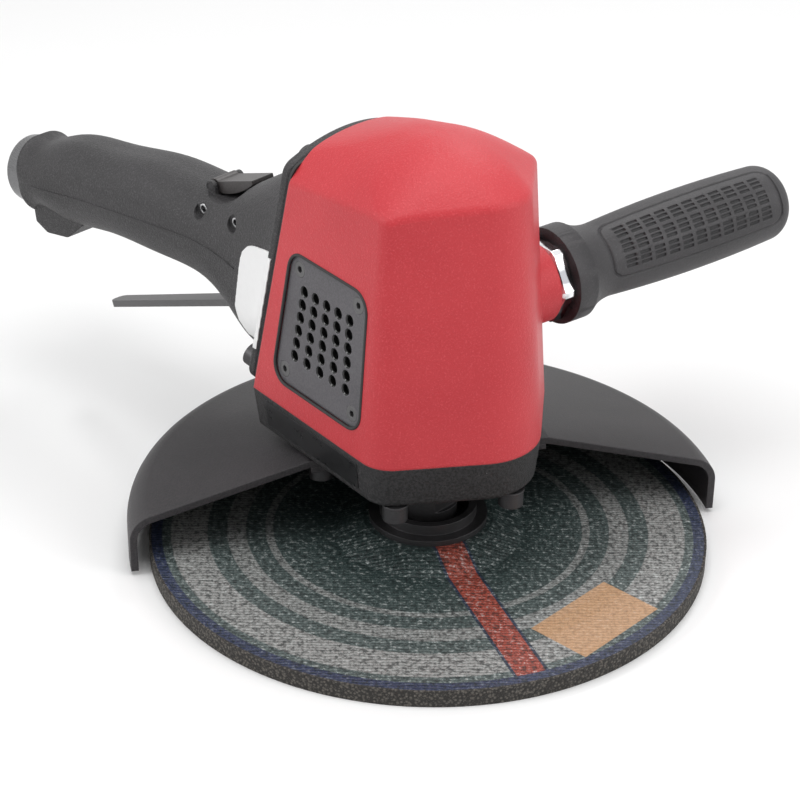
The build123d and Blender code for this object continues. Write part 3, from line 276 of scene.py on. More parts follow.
flank_side = (-0.1632, -0.9841, 0.0698)
base_coat = coated_metal(
    "base_coat", dark=(0.002, 0.002, 0.002), pale=(0.032, 0.030, 0.032),
    grain_scale=1000, depth=0.0012, roughness=0.46, dust=0.9)
guard_coat = coated_metal(
    "guard_coat", dark=(0.010, 0.0088, 0.010), pale=(0.034, 0.030, 0.033),
    grain_scale=1300, depth=0.0004, roughness=0.42, dust=0.35)
plate_coat = coated_metal(
    "plate_coat", dark=(0.070, 0.066, 0.073), pale=(0.112, 0.107, 0.116),
    grain_scale=1300, depth=0.0002, roughness=0.44, dust=0.2, open_side=flank_side)
wear(base_coat, "base_housing")
wear(guard_coat, "guard", "guard_clamp_plate")
wear(plate_coat, "exhaust_plate")

# %% [markdown]
# ## Filled plastic
# The throttle handle is moulded from glass-filled nylon. Its skin is nearly black, with a fine pale
# speckle where fibres lie at the surface and a spark-eroded grain from the mould.

# %% Handle plastic
handle_plastic = Finish("handle_plastic")
grain = handle_plastic.noise(1000, 3, 0.6)
fibre = handle_plastic.noise(1600, 3, 0.7).rise(0.50, 0.66)
cloud = handle_plastic.noise(22, 3).rise(0.3, 0.75)
soft_handle = handle_plastic.softened(0.0010)
tone = handle_plastic.mix(cloud, (0.008, 0.0074, 0.0082, 1), (0.016, 0.0148, 0.0164, 1))
handle_plastic.set(
    Base_Color=handle_plastic.mix(fibre * 0.5, tone, (0.10, 0.094, 0.10, 1)),
    Roughness=0.42 + 0.18 * grain,
    Normal=handle_plastic.bump(grain, 0.6, 0.0008, soft_handle),
)
wear(handle_plastic, "throttle_handle")

# %% [markdown]
# ## The dead handle's grip
# The grip is a soft grey moulding with a panel on each side: a rounded frame line, and inside it columns
# of small pockets, three groups of three to a column. The pockets themselves are cut into the mesh further
# down. The finish paints them darker as shade in the hollows, so it needs to know where they are: one
# coordinate runs along the grip, the other round it, and both repeat.

# %% Grip sizes, in metres and degrees
grip_angle, grip_tilt = math.radians(78), math.radians(2)
grip_height = 0.1037
grip_radius = 0.0172
panel_turn = math.radians(141)
panel_from, panel_to = 0.080, 0.171
panel_middle = (panel_from + panel_to) / 2
panel_half = math.radians(46)
panel_corner = 0.006
column_count, group_count, group_size = 11, 3, 3
pocket_pitch, pocket_length, pocket_depth = 0.0073, 0.0054, 0.0007
row_pitch, row_width = math.radians(7.0), math.radians(4.4)
group_pitch = 3.4 * row_pitch
columns_half = column_count / 2 * pocket_pitch
print("pockets in a panel:", column_count * group_count * group_size)

# %% Grip plastic
grip_plastic = Finish("grip_plastic")
x, y, z = grip_plastic.parts(grip_plastic.place())
outward = x * math.cos(grip_angle) + y * math.sin(grip_angle)
upward = z - grip_height
along = outward * math.cos(grip_tilt) + upward * math.sin(grip_tilt) - panel_middle
across = y * math.cos(grip_angle) - x * math.sin(grip_angle)
turn = (upward * math.cos(grip_tilt) - outward * math.sin(grip_tilt)).angle_to(across)
beside = ((turn - panel_turn) / math.pi + 0.5).fraction() * math.pi - math.pi / 2
column = abs((along / pocket_pitch + 0.5).fraction() - 0.5) * pocket_pitch
in_group = ((beside / group_pitch + 0.5).fraction() - 0.5) * group_pitch
row = abs((in_group / row_pitch + 0.5).fraction() - 0.5) * row_pitch
inside = (abs(along).rise(columns_half + 0.0002, columns_half)
          * abs(beside).rise(1.52 * group_pitch, group_count / 2 * group_pitch)
          * abs(in_group).rise(1.52 * row_pitch, group_size / 2 * row_pitch))
pocket = (column.rise(pocket_length / 2, pocket_length / 2 - 0.0003)
          * row.rise(row_width / 2, row_width / 2 - math.radians(0.8)) * inside)
grain = grip_plastic.noise(1100, 3, 0.6)
speck = grip_plastic.noise(1500, 3, 0.7).rise(0.55, 0.68)
cloud = grip_plastic.noise(25, 4).rise(0.3, 0.75)
tone = grip_plastic.mix(cloud, (0.022, 0.0205, 0.0225, 1), (0.034, 0.032, 0.035, 1))
tone = grip_plastic.mix(speck * 0.35, tone, (0.11, 0.104, 0.11, 1))
grip_plastic.set(
    # Painted shade: the pockets go near-black, as shade falls in the hollows.
    Base_Color=grip_plastic.mix(pocket * 0.8, tone, (0.008, 0.008, 0.009, 1)),
    Roughness=0.45 + 0.16 * grain,
    Normal=grip_plastic.bump(grain, 0.4, 0.0005, grip_plastic.softened(0.0006)),
)
wear(grip_plastic, "dead_handle_grip")

# %% [markdown]
# ## The grinding wheel
# The wheel is abrasive grit in resin, with glass mesh under a printed, lacquered face. The print is
# generic: three plain pale rings on teal, one red radial stripe with dark borders, a plain tan patch and a
# blue ring at the rim. The rim itself is bare grit. All of it is one material: the radius comes from the
# coordinates, and each print is a mask laid over the one before.

# %% Wheel coordinates
wheel_face = Finish("wheel_face")
x, y, z = wheel_face.parts(wheel_face.place())
radius = (x * x + y * y).root()
upward = wheel_face.parts(wheel_face.facing())[2].rise(0.3, 0.6)
grit = wheel_face.cells(760)
fine = wheel_face.noise(1500, 3, 0.6)


# %% Pale rings
def pale_ring(middle, half_width, fade, strength):
    return abs(wavy - middle).rise(half_width, half_width - fade) * strength


wavy = radius + (wheel_face.noise(38, 3) - 0.5) * 0.0008
teal = wheel_face.mix(radius.rise(0.030, 0.105), (0.026, 0.046, 0.044, 1), (0.100, 0.128, 0.124, 1))
broad_ring = pale_ring(middle=0.0985, half_width=0.0078, fade=0.0006, strength=0.75)
middle_ring = pale_ring(middle=0.0790, half_width=0.0042, fade=0.0005, strength=0.6)
narrow_ring = pale_ring(middle=0.0655, half_width=0.0018, fade=0.0004, strength=0.5)
pale_rings = broad_ring + middle_ring + narrow_ring
print_colour = wheel_face.mix(pale_rings, teal, (0.38, 0.375, 0.365, 1))

# %% Stripe, patch and rim ring, in metres
stripe_turn, stripe_half, border_half = math.radians(-26.5), 0.0060, 0.0073
patch_x, patch_y, patch_half_x, patch_half_y = 0.0926, -0.0044, 0.0138, 0.0226
rim_ring_from, printed_to = 0.1094, 0.1142
fade = 0.0004
stripe_out = x * math.cos(stripe_turn) + y * math.sin(stripe_turn)
stripe_side = abs(y * math.cos(stripe_turn) - x * math.sin(stripe_turn))
stripe_on = stripe_out.rise(0.0, 0.001)
border = stripe_side.rise(border_half, border_half - 0.0005) * stripe_on
stripe = stripe_side.rise(stripe_half, stripe_half - fade) * stripe_on
patch = (abs(x - patch_x).rise(patch_half_x, patch_half_x - fade)
         * abs(y - patch_y).rise(patch_half_y, patch_half_y - fade))
rim_ring = radius.rise(rim_ring_from, rim_ring_from + fade)
print_colour = wheel_face.mix(patch * 0.9, print_colour, (0.52, 0.30, 0.155, 1))
print_colour = wheel_face.mix(border, print_colour, (0.018, 0.030, 0.062, 1))
print_colour = wheel_face.mix(stripe * 0.95, print_colour, (0.36, 0.062, 0.036, 1))
print_colour = wheel_face.mix(rim_ring, print_colour, (0.030, 0.040, 0.088, 1))

# %% Mesh and crinkles
mesh_turn = math.radians(43)
mesh_pitch = 0.0018
warp = (x * math.cos(mesh_turn) + y * math.sin(mesh_turn)) * (math.pi / mesh_pitch)
weft = (y * math.cos(mesh_turn) - x * math.sin(mesh_turn)) * (math.pi / mesh_pitch)
waver = wheel_face.noise(90, 2) * 5.0
mesh = abs((weft + waver).sine()) * 0.7 + abs((warp + waver).sine()) * 0.3
crinkle = wheel_face.noise(430, 4, 0.75)
lines = mesh.rise(0.25, 0.75)
plain = 1 - 0.7 * patch
crinkle_shade = crinkle.rise(0.52, 0.40) * plain * 0.75
gaps = (1 - lines) * plain * 0.5
glint = crinkle.rise(0.53, 0.66) * lines * (1 - rim_ring * 0.7)
# Painted shade in the crinkles' dips.
print_colour = wheel_face.mix(crinkle_shade, print_colour, (0.008, 0.012, 0.012, 1))
print_colour = wheel_face.mix(gaps, print_colour, (0.010, 0.015, 0.015, 1))
# Painted glints: pale spots on the crinkles' tops along the mesh lines.
print_colour = wheel_face.mix(glint * plain * 0.6, print_colour, (0.64, 0.68, 0.67, 1))

# %% Bare grit and the whole wheel
bare = wheel_face.mix(grit.rise(0.55, 0.20), (0.022, 0.020, 0.018, 1), (0.105, 0.095, 0.083, 1))
bare = wheel_face.mix(fine.rise(0.55, 0.72) * 0.55, bare, (0.21, 0.195, 0.175, 1))
face_height = mesh * 0.35 + crinkle * 1.1
bare_height = grit + fine * 0.4
printed = upward * radius.rise(printed_to, printed_to - fade)
wheel_face.set(
    Base_Color=wheel_face.mix(printed, bare, print_colour),
    Metallic=printed * glint * 0.6,
    Roughness=0.85 - printed * (0.52 - 0.20 * fine),
    Normal=wheel_face.bump(face_height * printed + bare_height * (1 - printed), 0.9, 0.0006),
)
wear(wheel_face, "grinding_wheel")

# %% [markdown]
# ## Bare and blackened metal
# The collar is polished chrome, the inlet ring and levers are satin steel, and what sits inside or holds
# things together is ground or blackened steel. Ground steel has fine lines in one direction, which a noise
# stretched along one axis gives. A Mapping node does the stretching.


# %% Metal with drawn lines
def drawn_metal(name, colour, roughness, lines, metallic=1.0):
    finish = Finish(name)
    stretch = finish.node("ShaderNodeMapping", None, {"Vector": finish.place(), "Scale": (1.0, 1.0, 14.0)})
    drawn = finish.noise(260, 4, 0.65, stretch)
    smear = finish.noise(70, 3)
    soft = finish.softened(0.0004)
    dim = tuple(0.7 * c for c in colour)
    finish.set(
        Base_Color=finish.mix(drawn.rise(0.3, 0.7) * 0.6 + smear * 0.4, (*dim, 1), (*colour, 1)),
        Metallic=metallic,
        Roughness=roughness + lines * drawn,
        Normal=finish.bump(drawn, 0.15, 0.0001, soft),
    )
    return finish


# %% [markdown]
# Chrome is a mirror, and in an all-white surround a mirror looks like white paint. A workshop has dark
# things in it, which a collar shows as soft dark areas, so broad areas of its colour are painted dark as
# reflections.

# %% The metals
ground_steel = drawn_metal("ground_steel", (0.62, 0.62, 0.63), 0.24, 0.2)
inlet_steel = drawn_metal("inlet_steel", (0.21, 0.21, 0.215), 0.18, 0.2)
lever_steel = drawn_metal("lever_steel", (0.15, 0.148, 0.15), 0.36, 0.2, 0.7)
black_steel = drawn_metal("black_steel", (0.075, 0.073, 0.076), 0.34, 0.2, 0.8)
bright_chrome = drawn_metal("bright_chrome", (0.86, 0.86, 0.88), 0.06, 0.06)
# Painted reflections: broad dark areas on the chrome's colour.
painted_reflections = bright_chrome.noise(110, 1).rise(0.40, 0.58)
bright_chrome.set(Base_Color=bright_chrome.mix(painted_reflections, (0.16, 0.16, 0.17, 1), (0.88, 0.88, 0.90, 1)))
turned_brass = drawn_metal("turned_brass", (0.72, 0.53, 0.24), 0.25, 0.2)
wear(bright_chrome, "dead_handle_collar")
wear(inlet_steel, "inlet_bushing")
wear(lever_steel, "throttle_lever", "exhaust_screws")
wear(black_steel, "base_screws", "base_washers", "flange_screws", "inner_flange", "flange_nut", "lock_pin",
     "spindle")
wear(ground_steel, "rotor_key", "lower_bearing", "upper_bearing", "lower_inner_ring",
     "upper_inner_ring", "bearing_retainer", "preload_washer", "cylinder", "lower_end_plate",
     "upper_end_plate", "rotor", "valve_spring", "throttle_valve", "lever_pin", "neck_spring_pins",
     "dead_handle_stud", "inlet_screen")
wear(turned_brass, "valve_bushing")

# %% [markdown]
# ## Small mouldings, rubber, felt and laminate
# The thumb lever is a brown-grey moulding. Seals are rubber, the silencer behind the exhaust plate is
# black felt, and the motor's vanes are cloth laminate. All are dull with a soft mottle, so one recipe does.


# %% Dull stuffs
def dull_stuff(name, dark, pale, scale, depth, roughness):
    finish = Finish(name)
    mottle = finish.noise(scale, 4, 0.6)
    finish.set(
        Base_Color=finish.mix(mottle.rise(0.3, 0.7), (*dark, 1), (*pale, 1)),
        Roughness=roughness + 0.15 * mottle,
        Normal=finish.bump(mottle, 0.4, depth, finish.softened(0.0005)),
    )
    return finish


thumb_plastic = dull_stuff(
    "thumb_plastic", (0.040, 0.036, 0.036), (0.062, 0.056, 0.056), 900, 0.0002, 0.34)
seal_rubber = dull_stuff(
    "seal_rubber", (0.016, 0.016, 0.016), (0.028, 0.027, 0.027), 800, 0.0002, 0.60)
silencer_black = dull_stuff(
    "silencer_black", (0.003, 0.003, 0.003), (0.008, 0.008, 0.008), 2200, 0.0010, 0.75)
vane_laminate = dull_stuff(
    "vane_laminate", (0.16, 0.095, 0.045), (0.30, 0.19, 0.10), 1400, 0.0002, 0.55)
wear(thumb_plastic, "lock_lever")
wear(seal_rubber, "spindle_seal", "valve_seal", "handle_gasket")
wear(silencer_black, "silencer_felt")
wear(vane_laminate, "vanes")

# %% [markdown]
# ## Modelling by hand
# Operators act on whatever is selected, and loading leaves every solid selected. So each new piece starts
# with nothing selected, and one helper makes a piece the only selected and active one.


# %% Helpers for operators
def alone(piece):
    bpy.ops.object.select_all(action="DESELECT")
    piece.select_set(True)
    bpy.context.view_layer.objects.active = piece


def apply_all(piece):
    alone(piece)
    for modifier in list(piece.modifiers):
        bpy.ops.object.modifier_apply(modifier=modifier.name)


def finish_piece(piece, finish, body):
    alone(piece)
    bpy.ops.object.transform_apply(location=True, rotation=True, scale=True)
    piece.data.materials.clear()
    piece.data.materials.append(finish.material)
    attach(piece, body)
    print(piece.name, "faces:", len(piece.data.polygons))


# %% [markdown]
# ## Plates that lie on a flank
# A thin blank plate is stuck on the neck beside the flange, and a blank dark film on the base below the
# exhaust plate. A flat sheet would cut through the curved flank, so a fine grid is drawn beside it, trimmed
# to its outline with bisect cuts, and thrown onto the solid with Shrinkwrap. Smooth takes out the facets
# that it picks up there, and Solidify makes it a plate.

# %% How far to the side is clear of the handle and the base, in metres
clear_side = 0.09


# %% A trimmed grid thrown onto a solid
def flank_plate(name, target, middle, size, cells, cuts, thickness):
    bpy.ops.object.select_all(action="DESELECT")
    bpy.ops.mesh.primitive_grid_add(
        x_subdivisions=cells[0], y_subdivisions=cells[1], size=1,
        location=(middle[0], -clear_side, middle[1]), rotation=(math.pi / 2, 0, 0))
    plate = bpy.context.object
    plate.name = name
    plate.scale = (size[0], size[1], 1)
    bpy.ops.object.transform_apply(location=True, rotation=True, scale=True)
    bpy.ops.object.mode_set(mode="EDIT")
    for (x0, z0), (nx, nz) in cuts:
        bpy.ops.mesh.select_all(action="SELECT")
        bpy.ops.mesh.bisect(plane_co=(x0, 0, z0), plane_no=(nx, 0, nz), clear_outer=True)
    bpy.ops.object.mode_set(mode="OBJECT")
    wrap = plate.modifiers.new("Lie on the flank", "SHRINKWRAP")
    wrap.target = nodes[target]
    wrap.wrap_method = "PROJECT"
    wrap.use_project_y = True
    wrap.use_positive_direction = True
    wrap.use_negative_direction = False
    iron = plate.modifiers.new("Iron out facets", "SMOOTH")
    iron.factor = 0.5
    iron.iterations = 8
    skin = plate.modifiers.new("Thickness", "SOLIDIFY")
    skin.thickness = thickness
    skin.offset = 1.0
    apply_all(plate)
    bpy.ops.object.mode_set(mode="EDIT")
    bpy.ops.mesh.select_all(action="SELECT")
    bpy.ops.mesh.normals_make_consistent(inside=False)
    bpy.ops.object.mode_set(mode="OBJECT")
    bpy.ops.object.shade_smooth_by_angle(angle=math.radians(35))
    return plate


# %% [markdown]
# The neck plate's right edge runs along the leaning flange, and its left edge follows the neck in a
# shallow curve. Each cut is a point on the edge and the direction that is taken away.


# %% The neck plate
def cut_between(first, second):
    """A cut through two points; what lies to the left of the way from one to the other goes."""
    dx, dz = second[0] - first[0], second[1] - first[1]
    run = math.hypot(dx, dz)
    return first, (-dz / run, dx / run)


def cuts_round(outline):
    """Cuts for an outline whose points go round clockwise, seen from the flank's side."""
    closed = outline[1:] + outline[:1]
    return [cut_between(first, second) for first, second in zip(outline, closed)]


neck_outline = [
    (-0.0674, 0.0775), (-0.0730, 0.0758), (-0.0795, 0.0765), (-0.0852, 0.0808), (-0.0872, 0.0870),
    (-0.0858, 0.0950), (-0.0841, 0.1045), (-0.0830, 0.1100), (-0.0812, 0.1143), (-0.0780, 0.1175),
    (-0.0745, 0.1192), (-0.0590, 0.1228),
]
white_film = dull_stuff("white_film", (0.83, 0.83, 0.83), (0.85, 0.85, 0.85), 300, 0.00002, 0.30)
neck_plate = flank_plate("neck_plate", "throttle_handle", (-0.0706, 0.0990), (0.036, 0.054), (60, 90),
                         cuts_round(neck_outline), 0.0005)
finish_piece(neck_plate, white_film, "housing")

# %% [markdown]
# The film goes on over the flange's rim, up to the gasket. The rim stands proud of the neck, so that
# stretch is a strip of its own.

# %% The rim strip
rim_outline = [(-0.0658, 0.0790), (-0.0576, 0.1222), (-0.0550, 0.1225), (-0.0630, 0.0790)]
rim_strip = flank_plate("rim_strip", "throttle_handle", (-0.0602, 0.1010), (0.014, 0.048), (14, 48),
                        cuts_round(rim_outline), 0.0004)
finish_piece(rim_strip, white_film, "housing")

# %% The base film
base_outline = [(-0.056, 0.0475), (-0.056, 0.0600), (0.006, 0.0600), (0.006, 0.0475)]
dark_film = dull_stuff("dark_film", (0.012, 0.012, 0.013), (0.018, 0.018, 0.019), 300, 0.00005, 0.22)
base_film = flank_plate("base_film", "base_housing", (-0.025, 0.0538), (0.070, 0.020), (50, 14),
                        cuts_round(base_outline), 0.0003)
finish_piece(base_film, dark_film, "housing")

# %% [markdown]
# ## Fine round lines
# Four things here are fine round lines: the mould's parting line, the valve's spring, the bead round the
# exhaust plate and the groove round the grip's panels. Each is a smooth curve with a round section that
# becomes a mesh.


# %% A wire through points
def wire(name, points, thickness, closed):
    bpy.ops.object.select_all(action="DESELECT")
    bpy.ops.curve.primitive_nurbs_path_add()
    line = bpy.context.object
    line.name = name
    line.data.splines.clear()
    spline = line.data.splines.new("NURBS")
    spline.points.add(len(points) - 1)
    for point, where in zip(spline.points, points):
        point.co = (*where, 1)
    spline.use_cyclic_u = closed
    spline.use_endpoint_u = not closed
    spline.order_u = 3
    line.data.resolution_u = 4
    line.data.bevel_depth = thickness
    line.data.bevel_resolution = 2
    line.data.use_fill_caps = not closed
    alone(line)
    bpy.ops.object.convert(target="MESH")
    bpy.ops.object.mode_set(mode="EDIT")
    bpy.ops.mesh.select_all(action="SELECT")
    bpy.ops.mesh.remove_doubles(threshold=0.000001)
    bpy.ops.mesh.normals_make_consistent(inside=False)
    bpy.ops.object.mode_set(mode="OBJECT")
    bpy.ops.object.shade_smooth()
    return bpy.context.object


# %% [markdown]
# A closed line goes round a shape with rounded corners. Points are set close together, so that the line
# can follow a curved skin.


# %% Points round a shape with rounded corners
def rounded(corners, radius, gap):
    outline = []
    for index, corner in enumerate(corners):
        here = Vector(corner)
        before = (Vector(corners[index - 1]) - here).normalized()
        after = (Vector(corners[(index + 1) % len(corners)]) - here).normalized()
        half = before.angle(after) / 2
        middle = here + (before + after).normalized() * (radius / math.sin(half))
        first = here + before * (radius / math.tan(half)) - middle
        last = here + after * (radius / math.tan(half)) - middle
        outline += [middle + first.slerp(last, step / 6).normalized() * radius for step in range(7)]
    points = []
    for here, there in zip(outline, outline[1:] + outline[:1]):
        pieces = max(1, round((there - here).length / gap))
        points += [here.lerp(there, step / pieces) for step in range(pieces)]
    return points


# %% [markdown]
# ## The handle's parting line
# A two-part mould leaves a fine ridge half way up each flank of the handle. Its points are found by
# shooting rays at the solid, so the line lies on the skin from end to end.

# %% Parting lines
seam_places = [
    (-0.2280, 0.0935), (-0.2140, 0.0951), (-0.1967, 0.0980), (-0.1785, 0.0999), (-0.1612, 0.1019),
    (-0.1425, 0.1035), (-0.1278, 0.1051), (-0.1160, 0.1060), (-0.1015, 0.1054), (-0.0880, 0.1032),
]
seam_thickness, seam_sunk = 0.00035, 0.00010
handle = nodes["throttle_handle"]
for side, label in ((-1, "near"), (1, "far")):
    points = []
    for px, pz in seam_places:
        start = Vector((px, clear_side * side, pz))
        hit, where, normal, _ = handle.ray_cast(start, Vector((0, -side, 0)))
        if hit:
            points.append(where - normal * seam_sunk)
    seam = wire("handle_seam_" + label, points, seam_thickness, False)
    finish_piece(seam, handle_plastic, "housing")

# %% [markdown]
# ## The valve's spring
# A wound spring inside the handle pushes the throttle valve shut. The model has a plain sleeve in its
# place, and here it gets its turns, as a wire along a helix of the same height and width.

# %% Wound spring
low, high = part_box("valve_spring")
valve_travel, spring_wire, spring_turns, turn_steps = 0.0045, 0.0006, 6, 16
spring_axis = (low + high) / 2
spring_height = high.z - low.z
coil_radius = (high.x - low.x) / 2 - spring_wire
coil_height = spring_height - 2 * spring_wire
coil_steps = spring_turns * turn_steps
coil = []
for step in range(coil_steps + 1):
    turn = 2 * math.pi * step / turn_steps
    coil.append((
        spring_axis.x + coil_radius * math.cos(turn),
        spring_axis.y + coil_radius * math.sin(turn),
        low.z + spring_wire + coil_height * step / coil_steps,
    ))
spring = wire("wound_spring", coil, spring_wire, False)
finish_piece(spring, ground_steel, "housing")
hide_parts("valve_spring")
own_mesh(spring)
print("spring height:", round(spring_height, 5))

# %% [markdown]
# ## Round the exhaust plate
# A thin black bead fills the gap between the plate and its seat. Places on the plate are given as the model
# gives them: along the flank from the housing's shoulder, up from the joint, and out from the flank.

# %% The bead
flank_foot = Vector((0.0180, -0.0506, 0.0620))
flank_along = Vector((0.98652, -0.16362, 0.0))
flank_up = Vector((0.01141, 0.06882, 0.99756))
flank_out = Vector(flank_side)
plate_low, plate_high = 0.0107, 0.0693
plate_front, plate_rear, plate_rear_top = -0.0118, -0.0704, -0.0619


def on_flank(u, v, out):
    return flank_foot + flank_along * u + flank_up * v + flank_out * out


plate_corners = [(plate_rear, plate_low), (plate_front, plate_low), (plate_front, plate_high),
                 (plate_rear_top, plate_high)]
plate_corner, bead_thickness, bead_sunk = 0.008, 0.0007, 0.0001
point_gap = 0.002
bead_line = rounded(plate_corners, plate_corner, point_gap)
bead_points = [on_flank(u, v, -bead_sunk) for u, v in bead_line]
bead = wire("plate_bead", bead_points, bead_thickness, True)
finish_piece(bead, seal_rubber, "housing")

# %% [markdown]
# Each of the plate's holes is countersunk, and the slope catches the light as one bright point. A slope is
# an open cone with a little thickness. It is made once and copied into every hole, and the copies are
# joined.


# %% Copies that become one piece
def copy_at(pattern, place):
    """A copy with a mesh of its own, put where a matrix says."""
    copy = pattern.copy()
    copy.data = pattern.data.copy()
    bpy.context.collection.objects.link(copy)
    copy.matrix_world = place
    return copy


def joined(pieces, name):
    alone(pieces[0])
    for piece in pieces:
        piece.select_set(True)
    bpy.ops.object.join()
    whole = bpy.context.object
    whole.name = name
    print(name, "is made of", len(pieces))
    return whole


# %% One rim
hole_radius, rim_width, rim_depth, rim_wall = 0.0025, 0.0006, 0.0005, 0.0002
bpy.ops.object.select_all(action="DESELECT")
bpy.ops.mesh.primitive_cone_add(
    vertices=24, radius1=hole_radius - rim_width, radius2=hole_radius, depth=rim_depth,
    end_fill_type="NOTHING")
one_rim = bpy.context.object
wall = one_rim.modifiers.new("Thickness", "SOLIDIFY")
wall.thickness = rim_wall
wall.offset = 1.0
apply_all(one_rim)
bpy.ops.object.shade_smooth_by_angle(angle=math.radians(40))
print("faces of one rim:", len(one_rim.data.polygons))

# %% A rim in each hole
hole_rows, hole_columns = 6, 5
first_row, row_gap, side_gap = 0.0146, 0.00588, 0.0112
plate_face = -0.0008
turned = Matrix((flank_along, flank_up, flank_out)).transposed().to_4x4()
rims = []
for row in range(hole_rows):
    v = plate_low + first_row + row * row_gap
    share = (v - plate_low) / (plate_high - plate_low)
    rear = plate_rear + (plate_rear_top - plate_rear) * share + side_gap
    front = plate_front - side_gap
    for column in range(hole_columns):
        u = rear + (front - rear) * column / (hole_columns - 1)
        place = on_flank(u, v, plate_face - rim_depth / 2)
        rims.append(copy_at(one_rim, Matrix.Translation(place) @ turned))
bpy.data.objects.remove(one_rim)
hole_rims = joined(rims, "hole_rims")
# Painted shade: the rims are near-black as shade in the holes, and their gloss catches the bright point.
rim_black_shade = dull_stuff("rim_black_shade", (0.004, 0.004, 0.004), (0.006, 0.006, 0.006), 300, 0.00001, 0.08)
finish_piece(hole_rims, rim_black_shade, "housing")

# %% [markdown]
# ## Pockets in the grip
# The pockets are cut from a copy of the grip. A small block with softened edges is made once and copied to
# every pocket: a ray shot at the grip from outside finds the skin there, and the block is set half into it.
# The blocks and the two frame lines are joined into one cutter, which a Boolean takes away.

# %% Places on the grip
grip_axis = Vector((math.cos(grip_angle) * math.cos(grip_tilt), math.sin(grip_angle) * math.cos(grip_tilt),
                    math.sin(grip_tilt)))
grip_side = Vector((-math.sin(grip_angle), math.cos(grip_angle), 0))
grip_up = grip_axis.cross(grip_side)
grip_clear = 0.05
plain_grip = nodes["dead_handle_grip"]
print("grip's direction:", [round(c, 4) for c in grip_axis])


def on_grip(along, turn):
    """A point on the grip's skin, and the way out from the grip's axis there."""
    outwards = grip_side * math.cos(turn) + grip_up * math.sin(turn)
    start = Vector((0, 0, grip_height)) + grip_axis * along + outwards * grip_clear
    where = plain_grip.ray_cast(start, -outwards)[1]
    return where, outwards


# %% One block
bpy.ops.object.select_all(action="DESELECT")
bpy.ops.mesh.primitive_cube_add(size=1)
block = bpy.context.object
block.scale = (pocket_length, row_width * grip_radius, 2 * pocket_depth)
bpy.ops.object.transform_apply(location=True, rotation=True, scale=True)
soften = block.modifiers.new("Soft edges", "BEVEL")
soften.width = 0.0003
soften.segments = 2
apply_all(block)
print("faces of one block:", len(block.data.polygons))

# %% The cutter
groove_thickness = 0.00055
half = panel_half * grip_radius
frame_corners = [(panel_from, -half), (panel_to, -half), (panel_to, half), (panel_from, half)]
frame_line = rounded(frame_corners, panel_corner, point_gap)
pieces = []
for panel in (panel_turn, panel_turn + math.pi):
    for column in range(column_count):
        along = panel_middle + (column - (column_count - 1) / 2) * pocket_pitch
        for bar in range(group_count * group_size):
            group, place = divmod(bar, group_size)
            turn = panel + (group - 1) * group_pitch + (place - 1) * row_pitch
            where, outwards = on_grip(along, turn)
            way = Matrix((grip_axis, outwards.cross(grip_axis), outwards)).transposed().to_4x4()
            pieces.append(copy_at(block, Matrix.Translation(where) @ way))
    groove = [on_grip(out, panel + round_it / grip_radius)[0] for out, round_it in frame_line]
    pieces.append(wire("grip_groove", groove, groove_thickness, True))
bpy.data.objects.remove(block)
cutter = joined(pieces, "grip_cutter")
print("cutter faces:", len(cutter.data.polygons))

# %% The cut grip
grip = bpy.data.objects.new("grip_with_pockets", plain_grip.data.copy())
bpy.context.collection.objects.link(grip)
grip.matrix_world = plain_grip.matrix_world
alone(grip)
bpy.ops.object.mode_set(mode="EDIT")
bpy.ops.mesh.select_all(action="SELECT")
bpy.ops.mesh.remove_doubles(threshold=0.000001)
bpy.ops.object.mode_set(mode="OBJECT")
cut = grip.modifiers.new("Take away the pockets", "BOOLEAN")
cut.operation = "DIFFERENCE"
cut.solver = "EXACT"
cut.object = cutter
apply_all(grip)
bpy.data.objects.remove(cutter)
alone(grip)
bpy.ops.object.shade_smooth_by_angle(angle=math.radians(32))
finish_piece(grip, grip_plastic, "housing")
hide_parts("dead_handle_grip")

# %% [markdown]
# ## Floor, light and camera
# The tool stands on its wheel on a pale floor. The light is a studio's: an even white surround, one wide
# soft box above, one from the front left, one from the right and a small one from behind, which makes the
# crinkled lacquer sparkle. The surround is plain white to the camera and in reflections, and dimmer as a
# lamp, so the colours come out about as they are written. The lamps don't reach far, so further out the
# floor is plain white to the camera and in reflections too, and no grey band shows at the horizon.

# %% Floor
bpy.ops.object.select_all(action="DESELECT")
bpy.ops.mesh.primitive_circle_add(vertices=96, radius=6.0, fill_type="NGON", location=(0, 0, -0.0002))
floor = bpy.context.object
floor.name = "floor"
pale_floor = Finish("pale_floor")
x, y, z = pale_floor.parts(pale_floor.place())
camera_ray = pale_floor.node("ShaderNodeLightPath", output="Is Camera Ray")
glossy_ray = pale_floor.node("ShaderNodeLightPath", output="Is Glossy Ray")
far = (x * x + y * y).root().rise(0.8, 2.6) * camera_ray.larger(glossy_ray)
patchy = pale_floor.noise(3, 2)
near_tone = pale_floor.mix(patchy, (0.90, 0.90, 0.90, 1), (0.93, 0.93, 0.93, 1))
pale_floor.set(
    Base_Color=pale_floor.mix(far, near_tone, (0, 0, 0, 1)),
    Roughness=0.7,
    Specular_IOR_Level=0.2,
    Emission_Color=pale_floor.mix(far, (0, 0, 0, 1), (1, 1, 1, 1)),
    Emission_Strength=1.0,
)
floor.data.materials.append(pale_floor.material)
print("floor across:", round(floor.dimensions.x, 2))

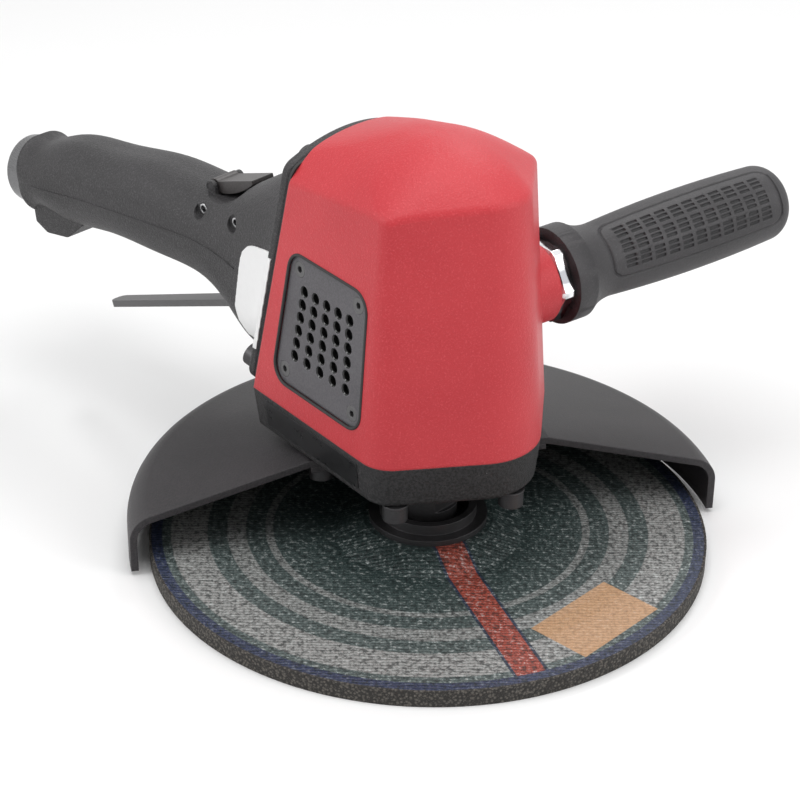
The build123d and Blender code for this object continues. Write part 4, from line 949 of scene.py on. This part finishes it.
# %% Surround
lamp_strength, seen_strength = 0.38, 1.0
white = (1, 1, 1, 1)
world = bpy.data.worlds.new("surround")
bpy.context.scene.world = world
world.use_nodes = True
sky = Graph(world.node_tree)
camera_ray = sky.node("ShaderNodeLightPath", output="Is Camera Ray")
glossy_ray = sky.node("ShaderNodeLightPath", output="Is Glossy Ray")
through_ray = sky.node("ShaderNodeLightPath", output="Is Transmission Ray")
seen = camera_ray.larger(glossy_ray.larger(through_ray))
dim_light = sky.node("ShaderNodeBackground", None, {"Color": white, "Strength": lamp_strength})
plain_white = sky.node("ShaderNodeBackground", None, {"Color": white, "Strength": seen_strength})
chosen = sky.node("ShaderNodeMixShader", None, {0: seen, 1: dim_light, 2: plain_white})
sky.node("ShaderNodeOutputWorld", None, {"Surface": chosen})
print("surround as a lamp:", lamp_strength, "as seen:", seen_strength)


# %% Soft boxes
def soft_box(name, place, aim, size, watts):
    way = Vector(aim) - Vector(place)
    bpy.ops.object.light_add(type="AREA", location=place, rotation=way.to_track_quat("-Z", "Y").to_euler())
    lamp = bpy.context.object
    lamp.name = name
    lamp.data.shape = "DISK"
    lamp.data.size = size
    lamp.data.energy = watts
    print(name, watts, "W")


soft_box("top_box", (0.10, -0.15, 1.60), (0, 0, 0.10), 1.4, 14)
soft_box("left_box", (-0.75, -1.20, 0.90), (0, 0, 0.10), 0.7, 8)
soft_box("right_box", (1.20, 0.50, 0.80), (0, 0, 0.10), 1.0, 7)
soft_box("back_box", (-0.45, 0.95, 1.25), (0, 0, 0.05), 0.4, 4)

# %% [markdown]
# The camera stands about where the photograph's did. That was worked out from the wheel, whose size is
# known: the place and the focal length were fitted until its rim and the flange in its hub both agreed.

# %% Camera
sensor_width, image_pixels, focal_pixels = 36.0, 800, 2300
bpy.ops.object.camera_add(
    location=(0.53813, -0.59765, 0.52196),
    rotation=[math.radians(a) for a in (60.4539, -0.6345, 43.2225)])
camera = bpy.context.object
camera.name = "photo_camera"
camera.data.sensor_width = sensor_width
camera.data.lens = sensor_width * focal_pixels / image_pixels
bpy.context.scene.camera = camera
bpy.context.scene.view_settings.view_transform = "Standard"
print("lens:", camera.data.lens, "mm")
